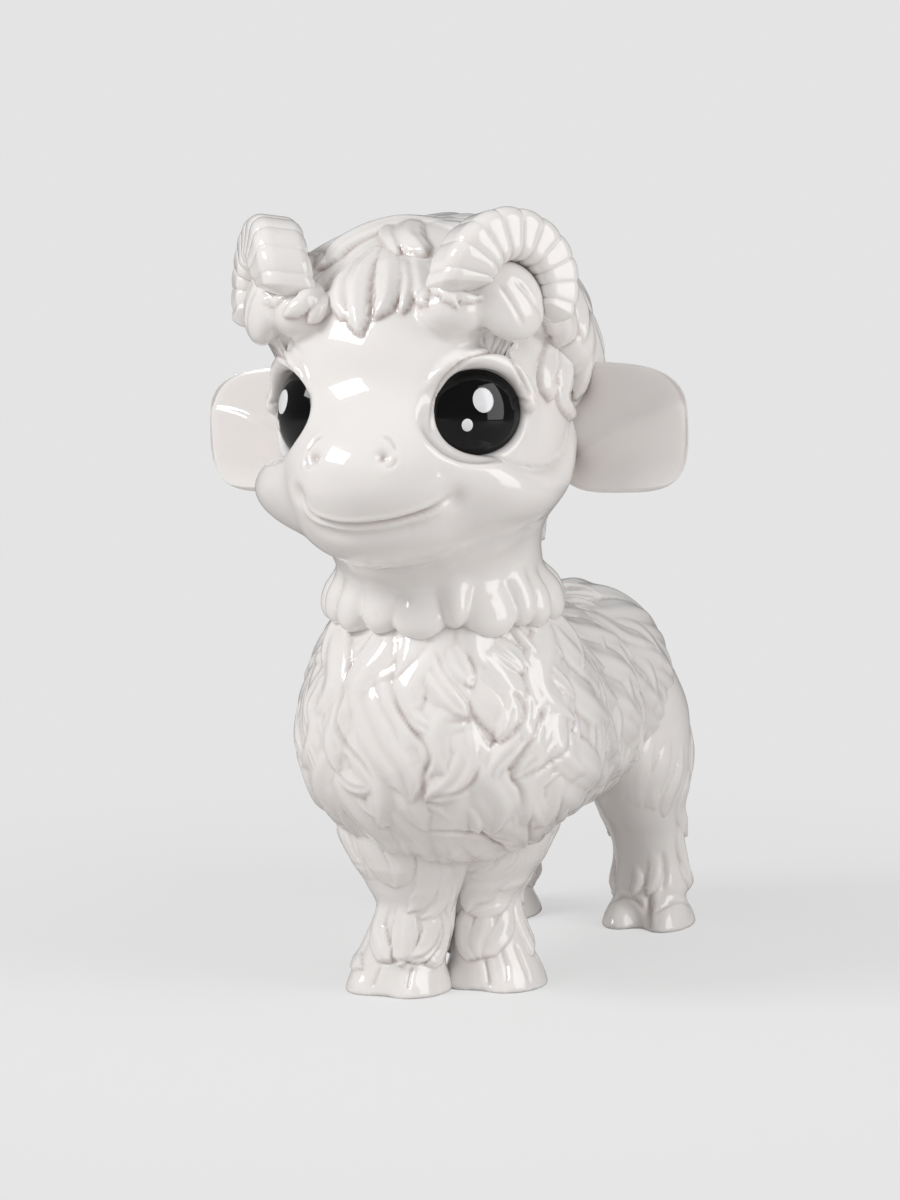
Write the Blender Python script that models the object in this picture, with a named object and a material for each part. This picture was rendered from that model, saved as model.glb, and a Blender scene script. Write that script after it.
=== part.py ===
"""Goat figurine in glazed porcelain, built as the castings that are luted together to make it.

Metres, +Z up. The goat faces -Y and its left side is +X. The hooves stand on z = 0.
"""

import math

import bmesh
import bpy
import numpy as np

# Slip joint between two castings
SLIP_GAP = 0.0003

# Trunk: chest, apron, belly and rump run into each other along its length
CHEST_WIDTH = 0.086
CHEST_LENGTH = 0.089
CHEST_HEIGHT = 0.092
CHEST_LEVEL = 0.093
CHEST_FORWARD = 0.048
APRON_WIDTH = 0.090
APRON_LENGTH = 0.086
APRON_HEIGHT = 0.058
APRON_LEVEL = 0.079
APRON_FORWARD = 0.046
BELLY_WIDTH = 0.080
BELLY_LENGTH = 0.122
BELLY_HEIGHT = 0.074
BELLY_LEVEL = 0.084
BELLY_BEHIND = 0.006
RUMP_WIDTH = 0.072
RUMP_LENGTH = 0.076
RUMP_HEIGHT = 0.072
RUMP_LEVEL = 0.085
RUMP_BEHIND = 0.057
TRUNK_BLEND = 0.016

# Head: skull, jaw, snout, chin and cheeks, on the neck that carries them
HEAD_LEAN = 1.6
SKULL_WIDTH = 0.098
SKULL_LENGTH = 0.090
SKULL_HEIGHT = 0.090
HEAD_LEVEL = 0.195
HEAD_FORWARD = 0.070
JAW_WIDTH = 0.100
JAW_LENGTH = 0.080
JAW_HEIGHT = 0.060
JAW_DROP = 0.022
JAW_REACH = 0.008
SNOUT_WIDTH = 0.050
SNOUT_LENGTH = 0.048
SNOUT_HEIGHT = 0.038
SNOUT_DROP = 0.025
SNOUT_REACH = 0.038
CHIN_WIDTH = 0.044
CHIN_LENGTH = 0.036
CHIN_HEIGHT = 0.024
CHIN_DROP = 0.039
CHIN_REACH = 0.030
CHEEK_WIDTH = 0.034
CHEEK_LENGTH = 0.038
CHEEK_HEIGHT = 0.032
CHEEK_ASIDE = 0.030
CHEEK_AHEAD = 0.020
CHEEK_DROP = 0.024
CHEEK_BLEND = 0.010
HAIR_MASS_WIDTH = 0.098
HAIR_MASS_LENGTH = 0.096
HAIR_MASS_HEIGHT = 0.086
HAIR_MASS_RISE = 0.009
HAIR_MASS_BACK = 0.013
NECK_TOP_DIAMETER = 0.062
NECK_FOOT_DIAMETER = 0.065
NECK_LEVEL = 0.130
NECK_FORWARD = 0.052
HEAD_BLEND = 0.014

# Eyes: black glazed domes in sockets under thick lids, each with two raised enamel dots
EYE_WIDTH = 0.0330
EYE_HEIGHT = 0.0310
EYE_DEPTH = 0.0220
EYE_ASIDE = 0.0254
EYE_AHEAD = 0.0244
EYE_DROP = 0.0068
EYE_SIDE_TURN = 44.0
EYE_UP_TURN = 2.0
SOCKET_WIDTH = 0.0330
SOCKET_HEIGHT = 0.0335
SOCKET_DEPTH = 0.0165
SOCKET_PROUD = 0.0126
SOCKET_INWARD = 0.0026
SOCKET_BLEND = 0.0035
LID_WIDTH = 0.0330
LID_HEIGHT = 0.0310
LID_THICKNESS = 0.0050
LID_PROUD = 0.0064
LID_OUTER_TURN = 24.0
LID_INNER_TURN = 188.0
LID_BLEND = 0.0020
LARGE_DOT_DIAMETER = 0.0064
LARGE_DOT_ASIDE = 0.0016
LARGE_DOT_RISE = 0.0043
SMALL_DOT_DIAMETER = 0.0034
SMALL_DOT_ASIDE = -0.0026
SMALL_DOT_RISE = -0.0026
DOT_RELIEF = 0.0006
DOT_TALLNESS = 1.15

# Mouth and nostrils, pressed into the snout
MOUTH_WIDTH = 0.052
MOUTH_DROP = 0.012
MOUTH_SMILE = 0.008
MOUTH_WRAP = 0.8
MOUTH_GROOVE_WIDTH = 0.0032
MOUTH_GROOVE_DEPTH = 0.0016
NOSTRIL_ASIDE = 0.0115
NOSTRIL_RISE = 0.008
NOSTRIL_LENGTH = 0.008
NOSTRIL_WIDTH = 0.0042
NOSTRIL_DEPTH = 0.0022
NOSTRIL_SLANT = 50.0
NOSTRIL_POINTS = 6

# Hair: long locks that fall from the crown, in tiers
HAIR_LOCK_WIDTH = 0.0150
HAIR_LOCK_RELIEF = 0.0038
HAIR_TIERS = 4
HAIR_FIRST_TURN = 8.0
HAIR_TIER_TURN = 24.0
HAIR_OVERLAP = 1.9
HAIR_BEND_TURN = 7.0
HAIR_FRINGE_TURN = 66.0
HAIR_NAPE_TURN = 128.0
FACE_HALF_ANGLE = 62.0

# Ruff: a ring of scallops where the neck lies on the chest
RUFF_SCALLOPS = 20
RUFF_TOP_RADIUS = 0.0280
RUFF_TOP_LEVEL = 0.136
RUFF_FOOT_RADIUS = 0.0330
RUFF_FOOT_LEVEL = 0.126
RUFF_TOP_DIAMETER = 0.0080
RUFF_FOOT_DIAMETER = 0.0118
RUFF_BLEND = 0.0020

# Fleece: rows of tapered locks that overlap like tiles
FLEECE_LOCK_LENGTH = 0.038
FLEECE_LOCK_WIDTH = 0.0165
FLEECE_LOCK_RELIEF = 0.0040
FLEECE_LOCK_SPACING = 0.0170
FLEECE_ROWS = 6
FLEECE_TOP_TURN = 38.0
FLEECE_HEM_TURN = 142.0
FLEECE_BEND = 0.0040
FLEECE_SWEEP = 26.0

# Every lock: slim where it starts, full in the middle, lifted at its pointed tip
LOCK_START_WIDTH = 0.55
LOCK_SWELL = 1.4
LOCK_POINTEDNESS = 0.65
LOCK_START_LIFT = 0.35
LOCK_FULL_AT = 0.8

# Ears: thick paddles, hollowed on the front
EAR_LENGTH = 0.0435
EAR_WIDTH = 0.041
EAR_THICKNESS = 0.013
EAR_HOLLOW = 0.005
EAR_HOLLOW_REACH = 0.92
EAR_HOLLOW_STEEPNESS = 3.0
EAR_NARROWING = 0.10
EAR_DROP = 0.0138
EAR_BACK = 0.016
EAR_SET_IN = 0.012
EAR_SQUARENESS = 3.2

# Horns: one ribbed curl on each side of the forehead, round a tuft of hair
HORN_CURL_RADIUS = 0.0152
HORN_TIP_RADIUS = 0.0164
HORN_BASE_WIDTH = 0.0160
HORN_BASE_DEPTH = 0.0155
HORN_TIP_WIDTH = 0.0096
HORN_TAPER = 2.2
HORN_RIBS = 10
HORN_RIB_RELIEF = 0.0013
HORN_RIB_FLATNESS = 0.5
HORN_SQUARENESS = 0.75
HORN_ASIDE = 0.0400
HORN_RISE = 0.0304
HORN_AHEAD = 0.0270
HORN_SIDE_TURN = 52.0
HORN_UP_TURN = 8.0
HORN_START_TURN = 182.0
HORN_SWEEP = 223.0
TUFT_WIDTH = 0.0155
TUFT_HEIGHT = 0.0260
TUFT_DEPTH = 0.0170
TUFT_ASIDE = 0.0030
TUFT_DROP = 0.0065
TUFT_LEAN = -28.0
TUFT_ROOT_DIAMETER = 0.0260
TUFT_ROOT_DEPTH = 0.0130
TUFT_BLEND = 0.0020

# Front legs: a broad upper leg over a slim ankle and a flared hoof
FRONT_LEG_ASIDE = 0.0128
FRONT_LEFT_FORWARD = 0.032
FRONT_RIGHT_FORWARD = 0.051
FRONT_FEET_SWAY = -0.003
FRONT_LEG_TOP = 0.072
FRONT_LEG_DIAMETER = 0.037
FOREARM_WIDTH = 0.0435
FOREARM_LENGTH = 0.0415
FOREARM_HEIGHT = 0.050
FOREARM_LEVEL = 0.055
FOREARM_INWARD = 0.0034
ANKLE_LEVEL = 0.025
ANKLE_DIAMETER = 0.025
ANKLE_INWARD = 0.0048
LEG_BLEND = 0.0040

# Hind legs: a deep thigh over a shank that leans back to the foot
THIGH_WIDTH = 0.036
THIGH_LENGTH = 0.053
THIGH_HEIGHT = 0.064
THIGH_LEVEL = 0.068
THIGH_FORWARD = 0.011
THIGH_INWARD = 0.0018
HOCK_LEVEL = 0.046
HOCK_FORWARD = 0.008
HOCK_DIAMETER = 0.031
SHANK_FOOT_LEVEL = 0.020
SHANK_FOOT_BACK = 0.003
SHANK_FOOT_DIAMETER = 0.025
HIND_LEFT_ASIDE = 0.026
HIND_LEFT_BEHIND = 0.076
HIND_RIGHT_ASIDE = 0.031
HIND_RIGHT_BEHIND = 0.074

# Hooves: a cone that flares to the sole, split into two toes by a cleft
HOOF_WIDTH = 0.032
HOOF_LENGTH = 0.031
HOOF_TOP_DIAMETER = 0.0265
HOOF_TOP_LEVEL = 0.011
TOE_WIDTH_SHARE = 0.56
TOE_ASIDE_SHARE = 0.25
TOE_HEIGHT = 0.030
TOE_SINK = 0.004
HOOF_CLEFT_BLEND = 0.0020

# Tail: a short tuft that hangs behind the rump
TAIL_LENGTH = 0.030
TAIL_DIAMETER = 0.017
TAIL_TIP_DIAMETER = 0.009
TAIL_RISE = 0.016
TAIL_SET_IN = 0.0017
TAIL_SLOPE = 62.0

# Facets in the finished solids
TRUNK_FACETS = 3660
HEAD_FACETS = 3740
LEG_FACETS = 460
EAR_FACETS = 300
TAIL_FACETS = 200

# Glazes: colours as red, green and blue, and how rough each surface is
PORCELAIN_COLOUR = (0.78, 0.75, 0.72)
PORCELAIN_ROUGHNESS = 0.08
BLACK_COLOUR = (0.005, 0.005, 0.006)
BLACK_ROUGHNESS = 0.04
ENAMEL_COLOUR = (0.85, 0.85, 0.85)
ENAMEL_ROUGHNESS = 0.10

# Steps and samples that the shapes are worked out with
LANDING_STEPS = 90
LANDING_CARE = 0.75
REACH = 0.160
SLOPE_STEP = 0.0002
PATH_POINTS = 14
RING_STEP = 4.0
FINE_SPHERE = 7
SMALL_SPHERE = 5
TAIL_SPHERE = 4
RINGS_PER_RIB = 4
HORN_CORNERS = 10
EYE_SEGMENTS = 18
DOT_SEGMENTS = 10
CORNER_CARE = 0.2
TINY = 1e-6

CHEST_MIDDLE = np.array((0.0, -CHEST_FORWARD, CHEST_LEVEL))
APRON_MIDDLE = np.array((0.0, -APRON_FORWARD, APRON_LEVEL))
BELLY_MIDDLE = np.array((0.0, BELLY_BEHIND, BELLY_LEVEL))
RUMP_MIDDLE = np.array((0.0, RUMP_BEHIND, RUMP_LEVEL))
HEAD_MIDDLE = np.array((0.0, -HEAD_FORWARD, HEAD_LEVEL))
SNOUT_MIDDLE = HEAD_MIDDLE + (0.0, -SNOUT_REACH, -SNOUT_DROP)
NECK_MIDDLE = np.array((0.0, -NECK_FORWARD, NECK_LEVEL))


# Forms: each is a function that gives the distance from points to a surface, negative inside

def ball(middle, size):
    """An ellipsoid of the given width, length and height."""
    half = np.array(size) / 2.0

    def distance(points):
        local = points - middle
        ratio = np.linalg.norm(local / half, axis=1)
        slope = np.linalg.norm(local / half ** 2, axis=1)
        return ratio * (ratio - 1.0) / np.maximum(slope, TINY)
    return distance


def limb(start, end, start_diameter, end_diameter):
    """A round bar with rounded ends that tapers from start to end."""
    start = np.array(start)
    run = np.array(end) - start

    def distance(points):
        share = np.clip((points - start) @ run / (run @ run), 0.0, 1.0)
        radius = (start_diameter + (end_diameter - start_diameter) * share) / 2.0
        return np.linalg.norm(points - start - share[:, None] * run, axis=1) - radius
    return distance


def blended(forms, softness):
    """Several forms as one, with a fillet of the given softness where they meet."""
    def distance(points):
        nearest = forms[0](points)
        for form in forms[1:]:
            other = form(points)
            overlap = np.maximum(softness - np.abs(nearest - other), 0.0) / softness
            nearest = np.minimum(nearest, other) - overlap ** 2 * softness / 4.0
        return nearest
    return distance


def pressed(form, tool, softness):
    """A form with another one pressed into it."""
    left_over = blended([lambda points: -form(points), tool], softness)
    return lambda points: -left_over(points)


def turned_ball(middle, size, axes):
    """An ellipsoid whose sizes run along three directions."""
    straight = ball(np.zeros(3), size)
    directions = np.stack(axes, axis=1)
    return lambda points: straight((points - middle) @ directions)


def bent_bar(path, diameter):
    """A round bar that follows a path."""
    return lambda points: nearest_on_path(points, path)[1] - diameter / 2.0


def on_both_sides(form):
    """A form of the left side, and its mirror image on the right."""
    return lambda points: form(np.column_stack([np.abs(points[:, 0]), points[:, 1:]]))


def facing_axes(side_turn, up_turn):
    """Sideways, upward and outward directions of a thing on the left that faces out at these turns."""
    side, up = math.radians(side_turn), math.radians(up_turn)
    outward = np.array((math.sin(side) * math.cos(up), -math.cos(side) * math.cos(up), math.sin(up)))
    sideways = np.cross((0.0, 0.0, 1.0), outward)
    sideways /= np.linalg.norm(sideways)
    return sideways, np.cross(outward, sideways), outward


def land(form, hubs, directions):
    """The points where lines from the hubs along the directions leave the form."""
    travelled = np.full(len(directions), REACH)
    for _ in range(LANDING_STEPS):
        travelled -= LANDING_CARE * form(hubs + directions * travelled[:, None])
        travelled = np.maximum(travelled, 0.0)
    return hubs + directions * travelled[:, None]


def slopes(form, points):
    """The outward unit normals of the form at the points."""
    columns = [form(points + step) - form(points - step) for step in np.eye(3) * SLOPE_STEP]
    normals = np.stack(columns, axis=1)
    return normals / np.linalg.norm(normals, axis=1)[:, None]


def spine_hubs(spine, directions):
    """For each direction, the point of the spine that it starts from."""
    start, end = np.array(spine[0]), np.array(spine[1])
    run = end - start
    length = np.linalg.norm(run)
    share = (directions @ run / length + 1.0) / 2.0 if length else np.zeros(len(directions))
    return start + share[:, None] * run


def compass(turn_down, turn_round):
    """Unit directions: turn_down from straight up, then turn_round from the front to the left."""
    down = np.radians(np.asarray(turn_down, dtype=float))
    round_ = np.radians(np.asarray(turn_round, dtype=float))
    return np.stack([np.sin(down) * np.sin(round_), -np.sin(down) * np.cos(round_), np.cos(down)], axis=-1)


# Relief: locks of hair raised on a surface, and grooves pressed into it

def nearest_on_path(points, path):
    """How far along the path, from 0 to 1, and how far away each point's nearest spot lies."""
    starts, runs = path[:-1], np.diff(path, axis=0)
    offsets = points[:, None, :] - starts[None]
    shares = np.clip((offsets * runs).sum(axis=2) / (runs ** 2).sum(axis=1), 0.0, 1.0)
    distances = np.linalg.norm(offsets - shares[..., None] * runs, axis=2)
    best = distances.argmin(axis=1)
    rows = np.arange(len(points))
    return (best + shares[rows, best]) / len(runs), distances[rows, best]


def near_path(points, path, reach):
    """The indices of the points that lie within reach of the path's box."""
    inside = (points > path.min(axis=0) - reach) & (points < path.max(axis=0) + reach)
    return np.flatnonzero(inside.all(axis=1))


def raise_lock(relief, points, path, width, height):
    """Raises one lock: narrow at its root, full in the middle, and lifted at its pointed tip."""
    chosen = near_path(points, path, width)
    if not len(chosen):
        return
    along, away = nearest_on_path(points[chosen], path)
    outline = (LOCK_START_WIDTH + LOCK_SWELL * along) * np.maximum(1.0 - along, 0.0) ** LOCK_POINTEDNESS
    inside = np.maximum(1.0 - (away / np.maximum(width / 2.0 * outline, TINY)) ** 2, 0.0)
    rise = np.sin(math.pi / 2.0 * np.minimum(along / LOCK_FULL_AT, 1.0))
    lift = LOCK_START_LIFT + (1.0 - LOCK_START_LIFT) * rise
    relief[chosen] = np.maximum(relief[chosen], height * lift * np.sqrt(inside))


def press_groove(relief, points, path, width, depth):
    """Presses one soft groove along the path."""
    chosen = near_path(points, path, width * 2.0)
    if not len(chosen):
        return
    along, away = nearest_on_path(points[chosen], path)
    relief[chosen] -= depth * np.exp(-(away / (width / 2.0)) ** 2)


# Meshes

def wrapped(form, spine, detail):
    """A sphere whose vertices are moved out or in until they lie on the form."""
    shape = bmesh.new()
    bmesh.ops.create_icosphere(shape, subdivisions=detail, radius=1.0)
    directions = np.array([vertex.co[:] for vertex in shape.verts])
    directions /= np.linalg.norm(directions, axis=1)[:, None]
    points = land(form, spine_hubs(spine, directions), directions)
    place_vertices(shape, points)
    return shape, points


def place_vertices(shape, points):
    for vertex, point in zip(shape.verts, points):
        vertex.co = point


def mesh_object(name, shape, collection, material=None):
    """A named object that holds the shape, shaded smooth."""
    shape.normal_update()
    bmesh.ops.recalc_face_normals(shape, faces=shape.faces[:])
    mesh = bpy.data.meshes.new(name)
    shape.to_mesh(mesh)
    shape.free()
    mesh.shade_smooth()
    thing = bpy.data.objects.new(name, mesh)
    collection.objects.link(thing)
    if material:
        mesh.materials.append(material)
    return thing


def settled(thing):
    """Replaces the object's mesh by its evaluated one and drops its modifiers."""
    bpy.context.view_layer.update()
    evaluated = thing.evaluated_get(bpy.context.evaluated_depsgraph_get())
    mesh = bpy.data.meshes.new_from_object(evaluated)
    thing.modifiers.clear()
    thing.data = mesh
    return thing


def thinned(thing, facets):
    """Collapses the fine mesh to about this many facets, keeping them where it curves most."""
    decimate = thing.modifiers.new("fewer_facets", "DECIMATE")
    decimate.ratio = min(1.0, facets / len(thing.data.polygons))
    return settled(thing)


def cut_flat_below(thing, level):
    """Cuts the object off level with a plane and closes it with one flat face."""
    shape = bmesh.new()
    shape.from_mesh(thing.data)
    everything = shape.verts[:] + shape.edges[:] + shape.faces[:]
    bmesh.ops.bisect_plane(
        shape, geom=everything, plane_co=(0.0, 0.0, level), plane_no=(0.0, 0.0, 1.0), clear_inner=True)
    rim = [edge for edge in shape.edges if edge.is_boundary]
    bmesh.ops.holes_fill(shape, edges=rim, sides=0)
    bmesh.ops.recalc_face_normals(shape, faces=shape.faces[:])
    shape.to_mesh(thing.data)
    shape.free()
    return thing


def grown_cutter(thing, gap, cutters):
    """A copy of the object, grown by the gap on every side, that cuts the seat of its neighbours."""
    shape = bmesh.new()
    shape.from_mesh(thing.data)
    shape.normal_update()
    moves = [even_move(vertex, gap) for vertex in shape.verts]
    for vertex, move in zip(shape.verts, moves):
        vertex.co = np.array(vertex.co) + move
    cutter = mesh_object(thing.name + "_seat", shape, cutters)
    cutter.hide_render = True
    cutter.display_type = "WIRE"
    return cutter


def even_move(vertex, gap):
    """The move that takes every facet round the vertex outwards by about the gap."""
    normals = np.array([face.normal[:] for face in vertex.link_faces])
    middle = np.array(vertex.normal)
    missing = gap - normals @ middle * gap
    return middle * gap + np.linalg.pinv(normals, rcond=CORNER_CARE) @ missing


def largest_body(thing):
    """Drops the crumbs that a cut leaves beside the casting."""
    shape = bmesh.new()
    shape.from_mesh(thing.data)
    left = set(shape.verts)
    bodies = []
    while left:
        body, front = set(), [left.pop()]
        while front:
            vertex = front.pop()
            body.add(vertex)
            for edge in vertex.link_edges:
                other = edge.other_vert(vertex)
                if other in left:
                    left.discard(other)
                    front.append(other)
        bodies.append(body)
    bodies.sort(key=len)
    for crumb in bodies[:-1]:
        bmesh.ops.delete(shape, geom=list(crumb), context="VERTS")
    shape.to_mesh(thing.data)
    shape.free()
    return thing


def seat(thing, *cutters):
    """Cuts the object to sit against its neighbours, one slip joint away."""
    for cutter in cutters:
        boolean = thing.modifiers.new("seat_on_" + cutter.name, "BOOLEAN")
        boolean.operation = "DIFFERENCE"
        boolean.solver = "EXACT"
        boolean.object = cutter
    return largest_body(settled(thing))


# Trunk

def trunk_form():
    chest = ball(CHEST_MIDDLE, (CHEST_WIDTH, CHEST_LENGTH, CHEST_HEIGHT))
    apron = ball(APRON_MIDDLE, (APRON_WIDTH, APRON_LENGTH, APRON_HEIGHT))
    belly = ball(BELLY_MIDDLE, (BELLY_WIDTH, BELLY_LENGTH, BELLY_HEIGHT))
    rump = ball(RUMP_MIDDLE, (RUMP_WIDTH, RUMP_LENGTH, RUMP_HEIGHT))
    return blended([chest, apron, belly, rump], TRUNK_BLEND)


def row_turns(form, spine, turn_down, spacing, offset):
    """Turns round the body at which the locks of one row start, evenly spaced along the skin."""
    turns = np.arange(0.0, 360.0 + RING_STEP, RING_STEP)
    directions = compass(np.full(len(turns), turn_down), turns)
    ring = land(form, spine_hubs(spine, directions), directions)
    lengths = np.concatenate([[0.0], np.cumsum(np.linalg.norm(np.diff(ring, axis=0), axis=1))])
    count = max(3, round(lengths[-1] / spacing))
    places = (np.arange(count) + offset) / count * lengths[-1]
    return np.interp(places, lengths, turns)


def fleece_paths(form, spine):
    """Paths of the fleece locks: rows from the back down, each swept towards the tail."""
    paths = []
    share = np.linspace(0.0, 1.0, PATH_POINTS)
    for row in range(FLEECE_ROWS):
        start = FLEECE_TOP_TURN + (FLEECE_HEM_TURN - FLEECE_TOP_TURN) * row / FLEECE_ROWS
        radius = CHEST_WIDTH / 2.0
        drop = math.degrees(FLEECE_LOCK_LENGTH / radius)
        for index, turn in enumerate(row_turns(form, spine, start, FLEECE_LOCK_SPACING, row % 2 / 2.0)):
            side = math.sin(math.radians(turn))
            sweep = FLEECE_SWEEP * side * abs(side)
            bend = math.degrees(FLEECE_BEND / radius) * (1.0 if (index + row) % 2 else -1.0)
            turns = turn + sweep * share + bend * np.sin(2.0 * math.pi * share)
            directions = compass(start + drop * share, turns)
            paths.append(land(form, spine_hubs(spine, directions), directions))
    return paths


def make_trunk(collection, glaze):
    form = trunk_form()
    spine = (CHEST_MIDDLE, RUMP_MIDDLE)
    shape, points = wrapped(form, spine, FINE_SPHERE)
    relief = np.zeros(len(points))
    for path in fleece_paths(form, spine):
        raise_lock(relief, points, path, FLEECE_LOCK_WIDTH, FLEECE_LOCK_RELIEF)
    place_vertices(shape, points + slopes(form, points) * relief[:, None])
    return thinned(mesh_object("torso", shape, collection, glaze), TRUNK_FACETS)


# Head

def leaned(points, way=1.0):
    """Points of the upright head, turned the way the head leans: its left side a little up."""
    turn = math.radians(HEAD_LEAN) * way
    sine, cosine = math.sin(turn), math.cos(turn)
    local = points - HEAD_MIDDLE
    aside = local[..., 0] * cosine - local[..., 2] * sine
    rise = local[..., 0] * sine + local[..., 2] * cosine
    return HEAD_MIDDLE + np.stack([aside, local[..., 1], rise], axis=-1)


def leaning(form):
    """A form of the upright head, leant with it."""
    return lambda points: form(leaned(points, -1.0))


def ruff_lobes():
    """The scallops of hair that lie round the foot of the neck."""
    lobes = []
    for index in range(RUFF_SCALLOPS):
        turn = math.tau * (index + 0.5) / RUFF_SCALLOPS
        away = np.array((math.sin(turn), -math.cos(turn), 0.0))
        top = away * RUFF_TOP_RADIUS + (0.0, -NECK_FORWARD, RUFF_TOP_LEVEL)
        foot = away * RUFF_FOOT_RADIUS + (0.0, -NECK_FORWARD, RUFF_FOOT_LEVEL)
        lobes.append(limb(top, foot, RUFF_TOP_DIAMETER, RUFF_FOOT_DIAMETER))
    return lobes


def face_form():
    """The upright head without its neck: skull, hair, jaw, snout, chin and cheeks."""
    skull = ball(HEAD_MIDDLE, (SKULL_WIDTH, SKULL_LENGTH, SKULL_HEIGHT))
    hair = ball(HEAD_MIDDLE + (0.0, HAIR_MASS_BACK, HAIR_MASS_RISE),
                (HAIR_MASS_WIDTH, HAIR_MASS_LENGTH, HAIR_MASS_HEIGHT))
    jaw = ball(HEAD_MIDDLE + (0.0, -JAW_REACH, -JAW_DROP), (JAW_WIDTH, JAW_LENGTH, JAW_HEIGHT))
    snout = ball(SNOUT_MIDDLE, (SNOUT_WIDTH, SNOUT_LENGTH, SNOUT_HEIGHT))
    chin = ball(HEAD_MIDDLE + (0.0, -CHIN_REACH, -CHIN_DROP), (CHIN_WIDTH, CHIN_LENGTH, CHIN_HEIGHT))
    cheek = ball(HEAD_MIDDLE + (CHEEK_ASIDE, -CHEEK_AHEAD, -CHEEK_DROP),
                 (CHEEK_WIDTH, CHEEK_LENGTH, CHEEK_HEIGHT))
    smooth = blended([skull, hair, jaw, snout, chin], HEAD_BLEND)
    return blended([smooth, on_both_sides(cheek)], CHEEK_BLEND)


def eye_frame():
    """Middle of the left eye, and its sideways, upward and outward directions."""
    middle = HEAD_MIDDLE + (EYE_ASIDE, -EYE_AHEAD, -EYE_DROP)
    return middle, facing_axes(EYE_SIDE_TURN, EYE_UP_TURN)


def socket_form():
    """The hollow round the left eye."""
    middle, (sideways, upward, outward) = eye_frame()
    middle = middle + outward * SOCKET_PROUD - sideways * SOCKET_INWARD
    return turned_ball(middle, (SOCKET_WIDTH, SOCKET_HEIGHT, SOCKET_DEPTH), (sideways, upward, outward))


def lid_form():
    """The left eye's upper lid, from its outer corner over the eye to the inner one."""
    middle, axes = eye_frame()
    turns = np.radians(np.linspace(LID_OUTER_TURN, LID_INNER_TURN, PATH_POINTS))
    across = np.cos(turns)[:, None] * axes[0] * LID_WIDTH / 2.0
    above = np.sin(turns)[:, None] * axes[1] * LID_HEIGHT / 2.0
    return bent_bar(middle + axes[2] * LID_PROUD + across + above, LID_THICKNESS)


def tuft_forms():
    """The tuft that the left horn curls round, and the root that carries tuft and horn."""
    middle, (sideways, upward, outward) = horn_frame()
    lean = math.radians(TUFT_LEAN)
    across = sideways * math.cos(lean) - upward * math.sin(lean)
    above = sideways * math.sin(lean) + upward * math.cos(lean)
    tuft_middle = middle + sideways * TUFT_ASIDE - upward * TUFT_DROP
    tuft = turned_ball(tuft_middle, (TUFT_WIDTH, TUFT_HEIGHT, TUFT_DEPTH), (across, above, outward))
    root = ball(middle - outward * TUFT_ROOT_DEPTH, (TUFT_ROOT_DIAMETER,) * 3)
    return [tuft, root]


def head_form():
    neck = limb(HEAD_MIDDLE, NECK_MIDDLE, NECK_TOP_DIAMETER, NECK_FOOT_DIAMETER)
    smooth = blended([leaning(face_form()), neck], HEAD_BLEND)
    hollowed = pressed(smooth, leaning(on_both_sides(socket_form())), SOCKET_BLEND)
    lidded = blended([hollowed, leaning(on_both_sides(lid_form()))], LID_BLEND)
    tufts = [leaning(on_both_sides(form)) for form in tuft_forms()]
    return blended([blended([lidded] + tufts, TUFT_BLEND)] + ruff_lobes(), RUFF_BLEND)


def on_head(form, target):
    """The spot on the head's skin where the line from the skull's middle to the target leaves it."""
    target = np.atleast_2d(target)
    direction = target - HEAD_MIDDLE
    direction = direction / np.linalg.norm(direction, axis=1)[:, None]
    return land(form, np.repeat(HEAD_MIDDLE[None], len(target), axis=0), direction)


def hair_paths(form):
    """Locks that fall from the crown: over the forehead, past the ears and down the nape."""
    paths = []
    share = np.linspace(0.0, 1.0, PATH_POINTS)
    for tier in range(HAIR_TIERS):
        start = HAIR_FIRST_TURN + HAIR_TIER_TURN * tier
        around = math.pi * SKULL_WIDTH * math.sin(math.radians(min(start + HAIR_TIER_TURN, 90.0)))
        count = round(around / HAIR_LOCK_WIDTH)
        for index in range(count):
            turn = (index + tier % 2 / 2.0) / count * 360.0 - 180.0
            edge = HAIR_FRINGE_TURN if abs(turn) < FACE_HALF_ANGLE else HAIR_NAPE_TURN
            end = min(start + HAIR_TIER_TURN * HAIR_OVERLAP, edge)
            if end - start < HAIR_TIER_TURN:
                continue
            bend = HAIR_BEND_TURN * (1.0 if index % 2 else -1.0)
            turns = turn + bend * np.sin(math.pi * 1.5 * share)
            paths.append(on_head(form, HEAD_MIDDLE + compass(start + (end - start) * share, turns)))
    return paths


def mouth_path(form):
    share = np.linspace(-1.0, 1.0, PATH_POINTS)
    side = share * MOUTH_WIDTH / 2.0
    rise = -MOUTH_DROP + MOUTH_SMILE * share ** 2
    ahead = -SNOUT_LENGTH / 2.0 * np.sqrt(1.0 - (share * MOUTH_WRAP) ** 2)
    return on_head(form, leaned(SNOUT_MIDDLE + np.stack([side, ahead, rise], axis=1)))


def nostril_path(form, hand):
    along = NOSTRIL_LENGTH * np.linspace(-0.5, 0.5, NOSTRIL_POINTS)
    slant = math.radians(NOSTRIL_SLANT)
    side = hand * (NOSTRIL_ASIDE + along * math.cos(slant))
    rise = NOSTRIL_RISE + along * math.sin(slant)
    ahead = np.full(len(along), -SNOUT_LENGTH / 2.0)
    return on_head(form, leaned(SNOUT_MIDDLE + np.stack([side, ahead, rise], axis=1)))


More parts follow.
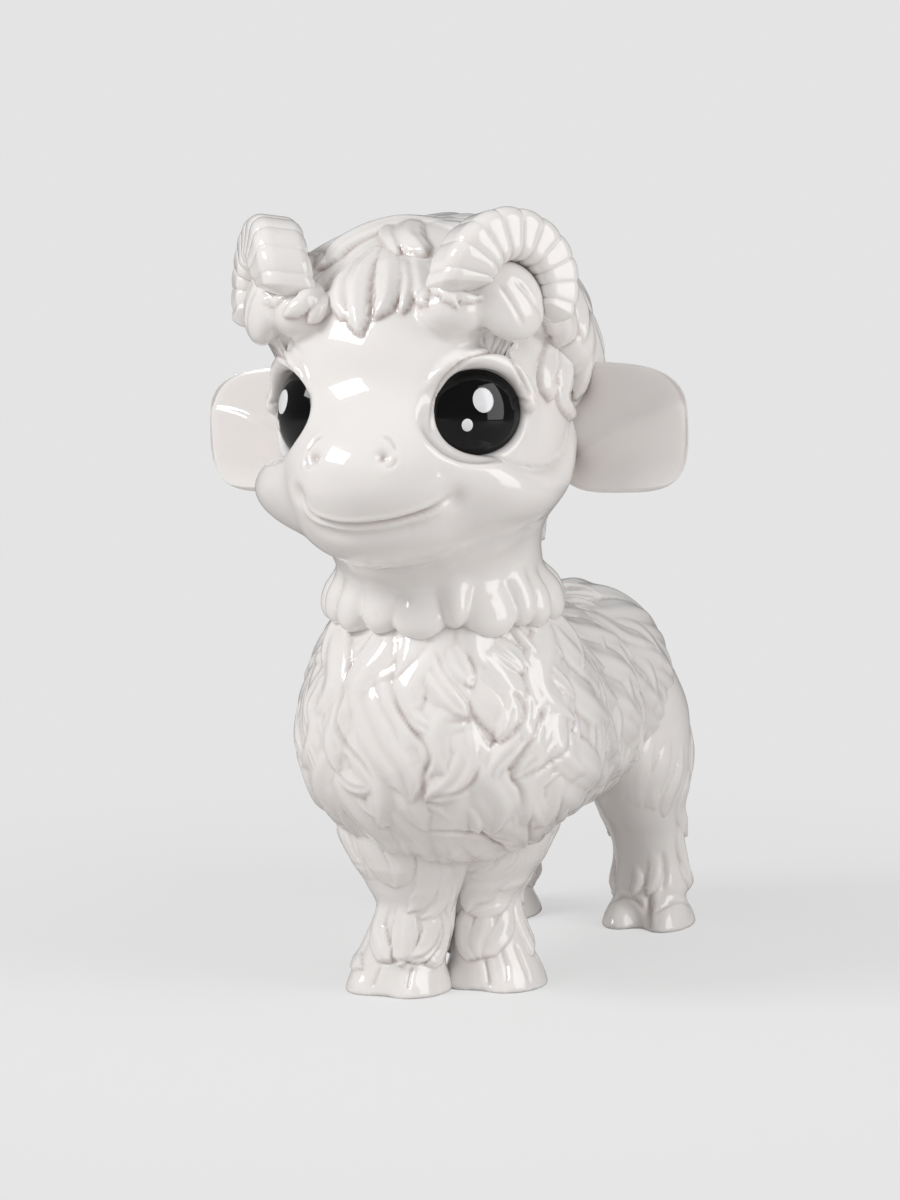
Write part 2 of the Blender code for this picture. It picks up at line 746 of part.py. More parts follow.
def make_head(form, collection, glaze):
    shape, points = wrapped(form, (NECK_MIDDLE, HEAD_MIDDLE), FINE_SPHERE)
    relief = np.zeros(len(points))
    for path in hair_paths(form):
        raise_lock(relief, points, path, HAIR_LOCK_WIDTH, HAIR_LOCK_RELIEF)
    for hand in (1.0, -1.0):
        press_groove(relief, points, nostril_path(form, hand), NOSTRIL_WIDTH, NOSTRIL_DEPTH)
    press_groove(relief, points, mouth_path(form), MOUTH_GROOVE_WIDTH, MOUTH_GROOVE_DEPTH)
    place_vertices(shape, points + slopes(form, points) * relief[:, None])
    return thinned(mesh_object("head", shape, collection, glaze), HEAD_FACETS)


# Eyes and their dots

def take_side(shape, hand):
    """Mirrors a shape of the left side if it is for the right, then leans it with the head."""
    if hand < 0:
        bmesh.ops.scale(shape, vec=(-1.0, 1.0, 1.0), verts=shape.verts[:])
        bmesh.ops.reverse_faces(shape, faces=shape.faces[:])
    place_vertices(shape, leaned(np.array([vertex.co[:] for vertex in shape.verts])))
    return shape


def oval(size, segments, middle, axes):
    """A sphere squashed to an oval of the given sizes along the three directions."""
    shape = bmesh.new()
    bmesh.ops.create_uvsphere(shape, u_segments=segments, v_segments=segments // 2, radius=0.5)
    local = np.array([vertex.co[:] for vertex in shape.verts]) * size
    place_vertices(shape, middle + local @ np.stack(axes))
    return shape


def make_eye(name, hand, collection, glaze):
    middle, axes = eye_frame()
    shape = oval((EYE_WIDTH, EYE_HEIGHT, EYE_DEPTH), EYE_SEGMENTS, middle, axes)
    return mesh_object(name, take_side(shape, hand), collection, glaze)


def make_dot(name, hand, diameter, aside, rise, collection, enamel):
    """A drop of enamel on the eye's dome, on the same side of both eyes, as a window's light falls."""
    middle, (sideways, upward, outward) = eye_frame()
    side, height = aside * hand / (EYE_WIDTH / 2.0), rise / (EYE_HEIGHT / 2.0)
    front = math.sqrt(1.0 - side ** 2 - height ** 2)
    spot = (middle + sideways * side * EYE_WIDTH / 2.0 + upward * height * EYE_HEIGHT / 2.0
            + outward * front * EYE_DEPTH / 2.0)
    normal = sideways * side / EYE_WIDTH + upward * height / EYE_HEIGHT + outward * front / EYE_DEPTH
    normal /= np.linalg.norm(normal)
    across = np.cross(upward, normal)
    across /= np.linalg.norm(across)
    axes = (across, np.cross(normal, across), normal)
    thickness = 2.0 * (SLIP_GAP + DOT_RELIEF)
    shape = oval((diameter, diameter * DOT_TALLNESS, thickness), DOT_SEGMENTS, spot, axes)
    return mesh_object(name, take_side(shape, hand), collection, enamel)


# Ears

def make_ear(name, hand, collection, glaze):
    """A squared-off paddle with a scooped front, its root set into the side of the head."""
    shape = bmesh.new()
    bmesh.ops.create_icosphere(shape, subdivisions=SMALL_SPHERE, radius=1.0)
    unit = np.array([vertex.co[:] for vertex in shape.verts])
    flat = np.abs(unit[:, 0]) ** EAR_SQUARENESS + np.abs(unit[:, 2]) ** EAR_SQUARENESS
    stretch = (flat + np.abs(unit[:, 1]) ** 2) ** (-1.0 / EAR_SQUARENESS)
    local = unit * stretch[:, None]
    out, up = local[:, 0], local[:, 2]
    inside = np.clip(1.0 - (out ** 2 + up ** 2) * EAR_HOLLOW_REACH ** 2, 0.0, 1.0)
    front = np.clip(-unit[:, 1] * EAR_HOLLOW_STEEPNESS, 0.0, 1.0)
    depth = local[:, 1] * EAR_THICKNESS / 2.0 + front * inside * EAR_HOLLOW
    narrowing = 1.0 - EAR_NARROWING * (out + 1.0) / 2.0
    root = np.array((SKULL_WIDTH / 2.0 - EAR_SET_IN, EAR_BACK - HEAD_FORWARD, HEAD_LEVEL - EAR_DROP))
    place = np.stack([(out + 1.0) * EAR_LENGTH / 2.0, depth, up * EAR_WIDTH / 2.0 * narrowing], axis=1)
    place_vertices(shape, root + place)
    return thinned(mesh_object(name, take_side(shape, hand), collection, glaze), EAR_FACETS)


# Horns

def horn_frame():
    """Middle of the left horn's curl, and its sideways, upward and outward directions."""
    middle = HEAD_MIDDLE + (HORN_ASIDE, -HORN_AHEAD, HORN_RISE)
    return middle, facing_axes(HORN_SIDE_TURN, HORN_UP_TURN)


def horn_ring(share):
    """One section of the horn, at this share of the way from its base to its tip."""
    middle, (sideways, upward, outward) = horn_frame()
    turn = math.radians(HORN_START_TURN - HORN_SWEEP * share)
    radial = sideways * math.cos(turn) + upward * math.sin(turn)
    radius = HORN_CURL_RADIUS + (HORN_TIP_RADIUS - HORN_CURL_RADIUS) * share
    taper = 1.0 - share ** HORN_TAPER
    rib = 2.0 * HORN_RIB_RELIEF * abs(math.sin(math.pi * HORN_RIBS * share)) ** HORN_RIB_FLATNESS
    width = HORN_TIP_WIDTH + (HORN_BASE_WIDTH - HORN_TIP_WIDTH) * taper + rib
    depth = HORN_TIP_WIDTH + (HORN_BASE_DEPTH - HORN_TIP_WIDTH) * taper + rib
    turns = math.tau * (np.arange(HORN_CORNERS) + 0.5) / HORN_CORNERS
    across = squarer(np.cos(turns)) * width / 2.0
    along = squarer(np.sin(turns)) * depth / 2.0
    return middle + radial * radius + across[:, None] * radial + along[:, None] * outward


def squarer(wave):
    """Flattens a circle's sines or cosines towards a square's."""
    return np.sign(wave) * np.abs(wave) ** HORN_SQUARENESS


def make_horn(name, hand, collection, glaze):
    """A ribbed curl, lofted ring by ring from its broad base to its tip."""
    shape = bmesh.new()
    shares = np.linspace(0.0, 1.0, HORN_RIBS * RINGS_PER_RIB + 1)
    loops = [[shape.verts.new(point) for point in horn_ring(share)] for share in shares]
    for near, far in zip(loops, loops[1:]):
        for corner in range(HORN_CORNERS):
            after = (corner + 1) % HORN_CORNERS
            shape.faces.new((near[corner], near[after], far[after], far[corner]))
    shape.faces.new(loops[0])
    shape.faces.new(loops[-1])
    return mesh_object(name, take_side(shape, hand), collection, glaze)


# Legs and tail

def hoof_form(aside, along):
    """A cone that flares to the sole, split into two toes."""
    cone = limb((aside, along, 0.0), (aside, along, HOOF_TOP_LEVEL), HOOF_WIDTH, HOOF_TOP_DIAMETER)
    size = (HOOF_WIDTH * TOE_WIDTH_SHARE, HOOF_LENGTH, TOE_HEIGHT)
    offset = HOOF_WIDTH * TOE_ASIDE_SHARE
    toes = [ball((aside + sign * offset, along, -TOE_SINK), size) for sign in (-1.0, 1.0)]
    return cone, blended(toes, HOOF_CLEFT_BLEND)


def make_leg(name, forms, spine, collection, glaze):
    """Skins a leg's blended forms and cuts it off flat at the floor."""
    shape, _ = wrapped(blended(forms, LEG_BLEND), spine, SMALL_SPHERE)
    return cut_flat_below(thinned(mesh_object(name, shape, collection, glaze), LEG_FACETS), 0.0)


def make_front_leg(name, aside, along, inward, collection, glaze):
    knee = np.array((aside + inward * FOREARM_INWARD, along, FOREARM_LEVEL))
    ankle = np.array((aside + inward * ANKLE_INWARD, along, ANKLE_LEVEL))
    top = (knee[0], along, FRONT_LEG_TOP)
    foot = (aside, along, HOOF_TOP_LEVEL)
    forearm = ball(knee, (FOREARM_WIDTH, FOREARM_LENGTH, FOREARM_HEIGHT))
    upper = limb(top, knee, FRONT_LEG_DIAMETER, FRONT_LEG_DIAMETER)
    shin = limb(knee, ankle, FRONT_LEG_DIAMETER, ANKLE_DIAMETER)
    pastern = limb(ankle, foot, ANKLE_DIAMETER, HOOF_TOP_DIAMETER)
    forms = [forearm, upper, shin, pastern, *hoof_form(aside, along)]
    return make_leg(name, forms, (foot, top), collection, glaze)


def make_hind_leg(name, aside, along, collection, glaze):
    inward = -math.copysign(THIGH_INWARD, aside)
    thigh_middle = np.array((aside + inward, along - THIGH_FORWARD, THIGH_LEVEL))
    hock = (aside + inward, along - HOCK_FORWARD, HOCK_LEVEL)
    foot = (aside, along + SHANK_FOOT_BACK, SHANK_FOOT_LEVEL)
    thigh = ball(thigh_middle, (THIGH_WIDTH, THIGH_LENGTH, THIGH_HEIGHT))
    shank = limb(hock, foot, HOCK_DIAMETER, SHANK_FOOT_DIAMETER)
    spine = ((aside, along, HOOF_TOP_LEVEL), thigh_middle)
    return make_leg(name, [thigh, shank, *hoof_form(aside, along)], spine, collection, glaze)


def make_tail(collection, glaze):
    slope = math.radians(TAIL_SLOPE)
    root = RUMP_MIDDLE + (0.0, RUMP_LENGTH / 2.0 - TAIL_SET_IN, TAIL_RISE)
    tip = root + (0.0, TAIL_LENGTH * math.cos(slope), -TAIL_LENGTH * math.sin(slope))
    shape, _ = wrapped(limb(root, tip, TAIL_DIAMETER, TAIL_TIP_DIAMETER), (root, tip), TAIL_SPHERE)
    return thinned(mesh_object("tail", shape, collection, glaze), TAIL_FACETS)


# Scene

def glazed(name, colour, roughness):
    """A glaze or enamel, with the gloss of its clear coat."""
    material = bpy.data.materials.new(name)
    material.use_nodes = True
    shader = material.node_tree.nodes["Principled BSDF"]
    shader.inputs["Base Color"].default_value = (*colour, 1.0)
    shader.inputs["Roughness"].default_value = roughness
    shader.inputs["Metallic"].default_value = 0.0
    return material


def clear_scene():
    for thing in list(bpy.data.objects):
        bpy.data.objects.remove(thing, do_unlink=True)


def new_collection(name):
    collection = bpy.data.collections.new(name)
    bpy.context.scene.collection.children.link(collection)
    return collection


def centre_over_origin(things, followers):
    """Moves everything so that the middle of the whole figure's box is over the origin."""
    corners = np.array([vertex.co[:] for thing in things for vertex in thing.data.vertices])
    middle = (corners.min(axis=0) + corners.max(axis=0)) / 2.0
    for thing in things + followers:
        thing.location = (0.0, -middle[1], 0.0)


def main():
    clear_scene()
    parts = new_collection("goat_figurine")
    cutters = new_collection("cutters")
    porcelain = glazed("white_porcelain", PORCELAIN_COLOUR, PORCELAIN_ROUGHNESS)
    black = glazed("black_glaze", BLACK_COLOUR, BLACK_ROUGHNESS)
    enamel = glazed("white_enamel", ENAMEL_COLOUR, ENAMEL_ROUGHNESS)

    torso = make_trunk(parts, porcelain)
    form = head_form()
    head = make_head(form, parts, porcelain)
    torso_cutter = grown_cutter(torso, SLIP_GAP, cutters)
    head_cutter = grown_cutter(head, SLIP_GAP, cutters)
    things = [torso, head]
    used = [torso_cutter, head_cutter]
    eye_cutters = []
    for side, hand in (("left", 1.0), ("right", -1.0)):
        horn = seat(make_horn("horn_" + side, hand, parts, porcelain), head_cutter)
        ear = seat(make_ear("ear_" + side, hand, parts, porcelain), head_cutter)
        eye = make_eye("eye_" + side, hand, parts, black)
        eye_cutter = grown_cutter(eye, SLIP_GAP, cutters)
        large = make_dot("eye_highlight_large_" + side, hand, LARGE_DOT_DIAMETER,
                         LARGE_DOT_ASIDE, LARGE_DOT_RISE, parts, enamel)
        small = make_dot("eye_highlight_small_" + side, hand, SMALL_DOT_DIAMETER,
                         SMALL_DOT_ASIDE, SMALL_DOT_RISE, parts, enamel)
        seat(large, eye_cutter)
        seat(small, eye_cutter)
        things += [horn, ear, eye, large, small]
        eye_cutters.append(eye_cutter)

    front_right = make_front_leg("front_leg_right", FRONT_FEET_SWAY - FRONT_LEG_ASIDE, -FRONT_RIGHT_FORWARD,
                                 1.0, parts, porcelain)
    front_left = make_front_leg("front_leg_left", FRONT_FEET_SWAY + FRONT_LEG_ASIDE, -FRONT_LEFT_FORWARD,
                                -1.0, parts, porcelain)
    front_cutter = grown_cutter(front_right, SLIP_GAP, cutters)
    seat(front_right, torso_cutter)
    seat(front_left, torso_cutter, front_cutter)
    hind_left = make_hind_leg("hind_leg_left", HIND_LEFT_ASIDE, HIND_LEFT_BEHIND, parts, porcelain)
    hind_right = make_hind_leg("hind_leg_right", -HIND_RIGHT_ASIDE, HIND_RIGHT_BEHIND, parts, porcelain)
    tail = make_tail(parts, porcelain)
    for thing in (hind_left, hind_right, tail):
        seat(thing, torso_cutter)
    things += [front_right, front_left, hind_left, hind_right, tail]
    used += eye_cutters + [front_cutter]
    seat(head, torso_cutter, *eye_cutters)
    centre_over_origin(things, used)


main()
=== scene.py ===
import math

import bmesh
import bpy
import numpy as np
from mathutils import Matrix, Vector


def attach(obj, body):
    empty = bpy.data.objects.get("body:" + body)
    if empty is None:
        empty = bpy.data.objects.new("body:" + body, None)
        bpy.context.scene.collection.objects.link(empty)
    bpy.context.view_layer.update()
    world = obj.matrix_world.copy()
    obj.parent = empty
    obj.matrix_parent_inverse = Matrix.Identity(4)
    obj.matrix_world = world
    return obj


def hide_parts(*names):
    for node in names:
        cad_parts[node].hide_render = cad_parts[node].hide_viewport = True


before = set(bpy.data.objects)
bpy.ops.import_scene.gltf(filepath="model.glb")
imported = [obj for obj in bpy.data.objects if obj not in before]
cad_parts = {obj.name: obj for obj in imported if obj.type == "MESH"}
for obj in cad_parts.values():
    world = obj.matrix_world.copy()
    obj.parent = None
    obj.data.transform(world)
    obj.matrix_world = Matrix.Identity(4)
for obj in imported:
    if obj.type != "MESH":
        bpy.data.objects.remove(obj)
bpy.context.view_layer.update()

# Goat figurine in glazed porcelain. Shapes are worked out in millimetres round the middle of the
# design, with the goat facing -Y and its left side at +X, and turned to metres as each piece is made.
MM = 0.001
# The shared frame's zero lies this far in front of the design's middle
SHIFT = 10.04

# The camera stands to the goat's left of straight ahead and looks slightly down
VIEW_TURN = math.radians(22.0)
VIEW_PITCH = math.radians(6.39)
VIEW_HEIGHT = 250.0
VIEW_DISTANCE = 1150.0
VIEW_ASIDE = 17.5
# The picture's size and focal length in its own pixels, and the film's longer side in millimetres
PICTURE = (900.0, 1200.0)
PICTURE_LENS = 3500.0
FILM = 36.0
# A search along a sight line: how far before the middle it starts, how often it steps at most, what share
# of the distance a step takes, its shortest and longest step, and the distance at which it has arrived
SEARCH_BEFORE, SEARCH_STEPS, SEARCH_PACE = 240.0, 70, 0.85
SHORTEST_STEP, LONGEST_STEP, ARRIVED = 0.02, 30.0, 0.01
FAR_OFF = 1e9
RIGHT = np.array((math.cos(VIEW_TURN), math.sin(VIEW_TURN), 0.0))
DEEP = np.array((-math.sin(VIEW_TURN), math.cos(VIEW_TURN), 0.0))
UP = np.array((0.0, 0.0, 1.0))
EYE_POINT = -VIEW_ASIDE * RIGHT - VIEW_DISTANCE * DEEP + VIEW_HEIGHT * UP


# Sight lines: a stroke is drawn as the picture shows it and laid on the surface behind it

def sight_lines(spots):
    """Unit directions from the camera through spots of the picture, in its pixels."""
    across = (np.asarray(spots, dtype=float) - np.array(PICTURE) / 2.0) / PICTURE_LENS
    sideways, down = across[:, :1], across[:, 1:]
    level = math.cos(VIEW_PITCH) - down * math.sin(VIEW_PITCH)
    drop = math.sin(VIEW_PITCH) + down * math.cos(VIEW_PITCH)
    lines = sideways * RIGHT + level * DEEP - drop * UP
    return lines / np.linalg.norm(lines, axis=1)[:, None]


def seen_on(form, spots):
    """Where the sight lines through the spots meet the form, or pass it most closely."""
    lines = sight_lines(spots)
    gone = np.full(len(lines), VIEW_DISTANCE - SEARCH_BEFORE)
    best, best_gap = gone.copy(), np.full(len(lines), FAR_OFF)
    for _ in range(SEARCH_STEPS):
        gap = form(EYE_POINT + lines * gone[:, None])
        closer = gap < best_gap
        best[closer], best_gap[closer] = gone[closer], gap[closer]
        gone = gone + np.clip(gap * SEARCH_PACE, SHORTEST_STEP, LONGEST_STEP) * (gap > ARRIVED)
    points = EYE_POINT + lines * best[:, None]
    return settled_on(form, points)


# Forms: functions that give the distance from points to a surface, negative inside

def ball(middle, size):
    """An ellipsoid of the given width, length and height."""
    middle, half = np.array(middle, dtype=float), np.array(size) / 2.0

    def distance(points):
        local = points - middle
        ratio = np.linalg.norm(local / half, axis=1)
        slope = np.linalg.norm(local / half ** 2, axis=1)
        return ratio * (ratio - 1.0) / np.maximum(slope, 1e-6)
    return distance


def limb(start, end, start_diameter, end_diameter):
    """A round bar with rounded ends that tapers from start to end."""
    start = np.array(start, dtype=float)
    run = np.array(end) - start

    def distance(points):
        share = np.clip((points - start) @ run / (run @ run), 0.0, 1.0)
        radius = (start_diameter + (end_diameter - start_diameter) * share) / 2.0
        return np.linalg.norm(points - start - share[:, None] * run, axis=1) - radius
    return distance


def joined(first, second, softness):
    """Two distances as one, with a fillet of the given softness where their surfaces meet."""
    overlap = np.maximum(softness - np.abs(first - second), 0.0) / softness
    return np.minimum(first, second) - overlap ** 2 * softness / 4.0


def trimmed(first, second, softness):
    """What two distances have in common, with its edge rounded off."""
    return -joined(-first, -second, softness)


def blended(forms, softness):
    """Several forms as one, with fillets."""
    def distance(points):
        nearest = forms[0](points)
        for form in forms[1:]:
            nearest = joined(nearest, form(points), softness)
        return nearest
    return distance


def slopes(form, points):
    """The outward unit normals of the form at the points."""
    step = 0.2
    columns = [form(points + move) - form(points - move) for move in np.eye(3) * step]
    normals = np.stack(columns, axis=1)
    return normals / np.maximum(np.linalg.norm(normals, axis=1)[:, None], 1e-9)


def settled_on(form, points, rounds=3):
    """The points moved along the form's slope until they lie on it."""
    for _ in range(rounds):
        points = points - slopes(form, points) * form(points)[:, None]
    return points


def landed(form, hubs, directions, reach=160.0, steps=60, pace=0.8):
    """The points where lines from the hubs along the directions leave the form."""
    travelled = np.full(len(directions), reach)
    for _ in range(steps):
        travelled = np.maximum(travelled - pace * form(hubs + directions * travelled[:, None]), 0.0)
    return hubs + directions * travelled[:, None]


def compass(turn_down, turn_round):
    """Unit directions: turn_down from straight up, then turn_round from the front to the left."""
    down = np.radians(np.asarray(turn_down, dtype=float))
    about = np.radians(np.asarray(turn_round, dtype=float))
    down, about = np.broadcast_arrays(down, about)
    return np.stack([np.sin(down) * np.sin(about), -np.sin(down) * np.cos(about), np.cos(down)], axis=-1)


def spine_hubs(spine, directions):
    """For each direction, the point of the spine that it starts from."""
    start, end = np.array(spine[0], dtype=float), np.array(spine[1], dtype=float)
    run = end - start
    length = max(np.linalg.norm(run), 1e-6)
    return start + ((directions @ run / length + 1.0) / 2.0)[:, None] * run


# Strokes: locks of hair raised on a skin, and creases pressed into it

def smooth_path(spots, count=24):
    """A smooth line through a few spots, as count evenly spread points."""
    spots = np.asarray(spots, dtype=float)
    lengths = np.concatenate([[0.0], np.cumsum(np.linalg.norm(np.diff(spots, axis=0), axis=1))])
    grades = np.gradient(spots, lengths, axis=0)
    places = np.linspace(0.0, lengths[-1], count)
    index = np.clip(np.searchsorted(lengths, places, side="right") - 1, 0, len(spots) - 2)
    span = (lengths[index + 1] - lengths[index])[:, None]
    t = (places - lengths[index])[:, None] / span
    start, end = spots[index], spots[index + 1]
    lead, tail = grades[index] * span, grades[index + 1] * span
    return ((2 * t ** 3 - 3 * t ** 2 + 1) * start + (t ** 3 - 2 * t ** 2 + t) * lead
            + (3 * t ** 2 - 2 * t ** 3) * end + (t ** 3 - t ** 2) * tail)


# A lock's width and height at places along it, from root to tip
LOCK_WIDTHS = ((0.0, 0.25, 0.5, 0.86, 1.0), (0.45, 0.85, 1.0, 0.72, 0.02))
LOCK_HEIGHTS = ((0.0, 0.25, 0.75, 1.0), (0.15, 0.62, 1.0, 0.80))
LOCK_ROUNDNESS = 2.2
FURROW_DEPTH = 0.16
# A crease's share of its depth at its ends and how fast it deepens from there, then where its raised edges
# lie and how wide they are, as shares of its width
CREASE_END, CREASE_GROWTH = 0.15, 5.0
SHOULDER_ASIDE, SHOULDER_WIDTH = 0.9, 0.6


class Skin:
    """A fine mesh on a form, with the relief that the modelling tools leave on it."""

    def __init__(self, form, points):
        self.form = form
        self.points = points
        self.normals = slopes(form, points)
        self.relief = np.zeros(len(points))
        self.order = np.argsort(points[:, 0])
        self.ranked = points[self.order, 0]

    def near(self, path, reach):
        """Indices of the points within reach of the path's box."""
        low, high = path.min(axis=0) - reach, path.max(axis=0) + reach
        first, last = np.searchsorted(self.ranked, (low[0], high[0]))
        chosen = self.order[first:last]
        inside = ((self.points[chosen, 1:] > low[1:]) & (self.points[chosen, 1:] < high[1:])).all(axis=1)
        return chosen[inside]

    def measured(self, chosen, path):
        """How far along the path each chosen point lies, from 0 to 1, and how far to its left side."""
        starts, runs = path[:-1], np.diff(path, axis=0)
        offsets = self.points[chosen][:, None, :] - starts[None]
        shares = np.clip((offsets * runs).sum(axis=2) / np.maximum((runs ** 2).sum(axis=1), 1e-9), 0.0, 1.0)
        gaps = offsets - shares[..., None] * runs
        distances = np.linalg.norm(gaps, axis=2)
        best = distances.argmin(axis=1)
        rows = np.arange(len(chosen))
        left = np.cross(self.normals[chosen], runs[best])
        side = np.sign((gaps[rows, best] * left).sum(axis=1))
        return (best + shares[rows, best]) / len(runs), distances[rows, best] * np.where(side == 0, 1.0, side)

    def lock(self, path, width, height, strands=2):
        """Raises one lock over what is there: narrow at its root, full further on, with a lifted tip."""
        path = smooth_path(path)
        chosen = self.near(path, width)
        if not len(chosen):
            return
        along, aside = self.measured(chosen, path)
        half = np.maximum(width / 2.0 * np.interp(along, *LOCK_WIDTHS), 1e-4)
        across = aside / half
        inside = np.maximum(1.0 - np.abs(across) ** LOCK_ROUNDNESS, 0.0)
        valleys = 0.5 - 0.5 * np.cos(math.pi * strands * (across + 1.0))
        furrows = 1.0 - FURROW_DEPTH * valleys * np.minimum(inside * 3.0, 1.0)
        raised = height * np.interp(along, *LOCK_HEIGHTS) * np.sqrt(inside) * furrows
        before = self.relief[chosen]
        self.relief[chosen] = np.where(inside > 0.0, np.maximum(before, raised), before)

    def crease(self, path, width, depth, sides=0.0):
        """Presses a line into the skin, with soft shoulders and thin ends."""
        path = smooth_path(path)
        chosen = self.near(path, width * 2.5)
        if not len(chosen):
            return
        along, aside = self.measured(chosen, path)
        ends = np.minimum(1.0, CREASE_GROWTH * np.minimum(along, 1.0 - along) + CREASE_END)
        cut = np.exp(-(aside / (width / 2.0)) ** 2)
        beyond = (np.abs(aside) - width * SHOULDER_ASIDE) / (width * SHOULDER_WIDTH)
        shoulder = sides * np.exp(-beyond ** 2)
        self.relief[chosen] += depth * ends * (shoulder - cut)

    def bulge(self, spot, size, height):
        """Swells the skin softly round one spot, or dents it where height is negative."""
        spot = np.asarray(spot, dtype=float)
        chosen = self.near(spot[None], size * 1.5)
        away = np.linalg.norm(self.points[chosen] - spot, axis=1) / (size / 2.0)
        self.relief[chosen] += height * np.exp(-away ** 2)

    def carved(self):
        return self.points + self.normals * self.relief[:, None]


END_FILLET = 2.0
# Steps along an oval's slope are cut to this share, because its distance is only roughly known
OVAL_PACE = 0.85


def post(levels, middles, widths, lengths):
    """An upright form whose oval section changes from level to level, cut off flat at both ends."""
    table = np.column_stack([levels, np.array(middles, dtype=float), widths, lengths])
    rule = smooth_path(table, 80)

    def distance(points):
        height = points[:, 2]
        read = [np.interp(height, rule[:, 0], rule[:, column]) for column in range(1, 5)]
        middle, half = np.stack(read[:2], 1), np.stack(read[2:], 1) / 2.0
        local = (points[:, :2] - middle) / half
        ratio = np.linalg.norm(local, axis=1)
        slope = np.linalg.norm(local / half, axis=1) / np.maximum(ratio, 1e-6)
        side = (ratio - 1.0) / np.maximum(slope, 1.0 / half.max(axis=1)) * OVAL_PACE
        ends = np.maximum(height - levels[-1], levels[0] - height)
        return trimmed(side, ends, END_FILLET)
    return distance


# Meshes: each skin has small even facets, so that a carved line runs over it in any direction

def unit_ball(subdivisions):
    """A ball of even facets, and the direction of each of its corners."""
    shape = bmesh.new()
    bmesh.ops.create_icosphere(shape, subdivisions=subdivisions, radius=1.0)
    directions = np.array([vertex.co[:] for vertex in shape.verts])
    return shape, directions / np.linalg.norm(directions, axis=1)[:, None]


def moulded(shape, points, mesh, merged=0.0):
    """The mesh takes the shape, with its corners at the points, doubles merged and faces outwards."""
    for vertex, point in zip(shape.verts, points):
        vertex.co = point
    if merged:
        bmesh.ops.remove_doubles(shape, verts=shape.verts[:], dist=merged)
    bmesh.ops.recalc_face_normals(shape, faces=shape.faces[:])
    shape.to_mesh(mesh)
    shape.free()
    return mesh


def even_skin(name, form, spine, grain, facets=6):
    """A skin of facets about one grain wide on the form, and the mesh that holds it."""
    shape, directions = unit_ball(facets)
    points = landed(form, spine_hubs(spine, directions), directions)
    rough = moulded(shape, points, bpy.data.meshes.new(name + "_rough"))
    thing = in_scene(name + "_rough", rough)
    remesh = thing.modifiers.new("even_facets", "REMESH")
    remesh.mode = "VOXEL"
    remesh.voxel_size = grain
    mesh = plain_mesh(thing)
    bpy.data.objects.remove(thing)
    return Skin(form, settled_on(form, mesh_points(mesh))), mesh


def in_scene(name, data):
    """A new object with the data, linked into the scene."""
    thing = bpy.data.objects.new(name, data)
    bpy.context.scene.collection.objects.link(thing)
    return thing


def plain_mesh(thing):
    """The object's shape with its modifiers worked in, as a mesh of its own."""
    bpy.context.view_layer.update()
    evaluated = thing.evaluated_get(bpy.context.evaluated_depsgraph_get())
    return bpy.data.meshes.new_from_object(evaluated)


def mesh_points(mesh):
    points = np.empty(len(mesh.vertices) * 3, dtype=np.float32)
    mesh.vertices.foreach_get("co", points)
    return points.reshape(-1, 3).astype(float)


def mesh_edges(mesh):
    edges = np.empty(len(mesh.edges) * 2, dtype=np.int32)
    mesh.edges.foreach_get("vertices", edges)
    return edges.reshape(-1, 2)


def spread(values, edges, rounds):
    """The values evened out between neighbours."""
    count = np.bincount(edges.ravel(), minlength=len(values))
    for _ in range(rounds):
        total = np.zeros_like(values)
        np.add.at(total, edges[:, 0], values[edges[:, 1]])
        np.add.at(total, edges[:, 1], values[edges[:, 0]])
        values = 0.5 * values + 0.5 * total / np.maximum(count, 1)
    return values


def hollowness(skin, edges, rounds=8):
    """How far each point lies below its surroundings, in millimetres: painted shade goes there."""
    return spread(skin.relief, edges, rounds) - skin.relief


def cast(name, mesh, points, material):
    """The finished piece: the mesh takes the points, if any are given, and stands for its node."""
    points = mesh_points(mesh) if points is None else points
    placed = (points + (0.0, SHIFT, 0.0)) * MM
    mesh.vertices.foreach_set("co", placed.astype(np.float32).ravel())
    mesh.materials.clear()
    mesh.materials.append(material)
    mesh.shade_smooth()
    mesh.update()
    mesh.name = name
    piece = in_scene("glazed_" + name, mesh)
    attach(piece, "root")
    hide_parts(name)
    return piece


# Trunk and its fleece

CHEST = np.array((0.0, -48.0, 93.0))
RUMP = np.array((0.0, 57.0, 85.0))
HEAD = np.array((0.0, -70.0, 195.0))
NECK = np.array((0.0, -52.0, 130.0))
HEAD_TILT = math.radians(1.6)
# The trunk's masses: middle, then width, length and height
TRUNK = (
    (CHEST, (86.0, 89.0, 92.0)),
    ((0.0, -46.0, 79.0), (90.0, 86.0, 58.0)),
    ((0.0, 6.0, 84.0), (80.0, 122.0, 74.0)),
    (RUMP, (72.0, 76.0, 72.0)),
)
TRUNK_FILLET = 16.0


def trunk_form():
    return blended([ball(middle, size) for middle, size in TRUNK], TRUNK_FILLET)


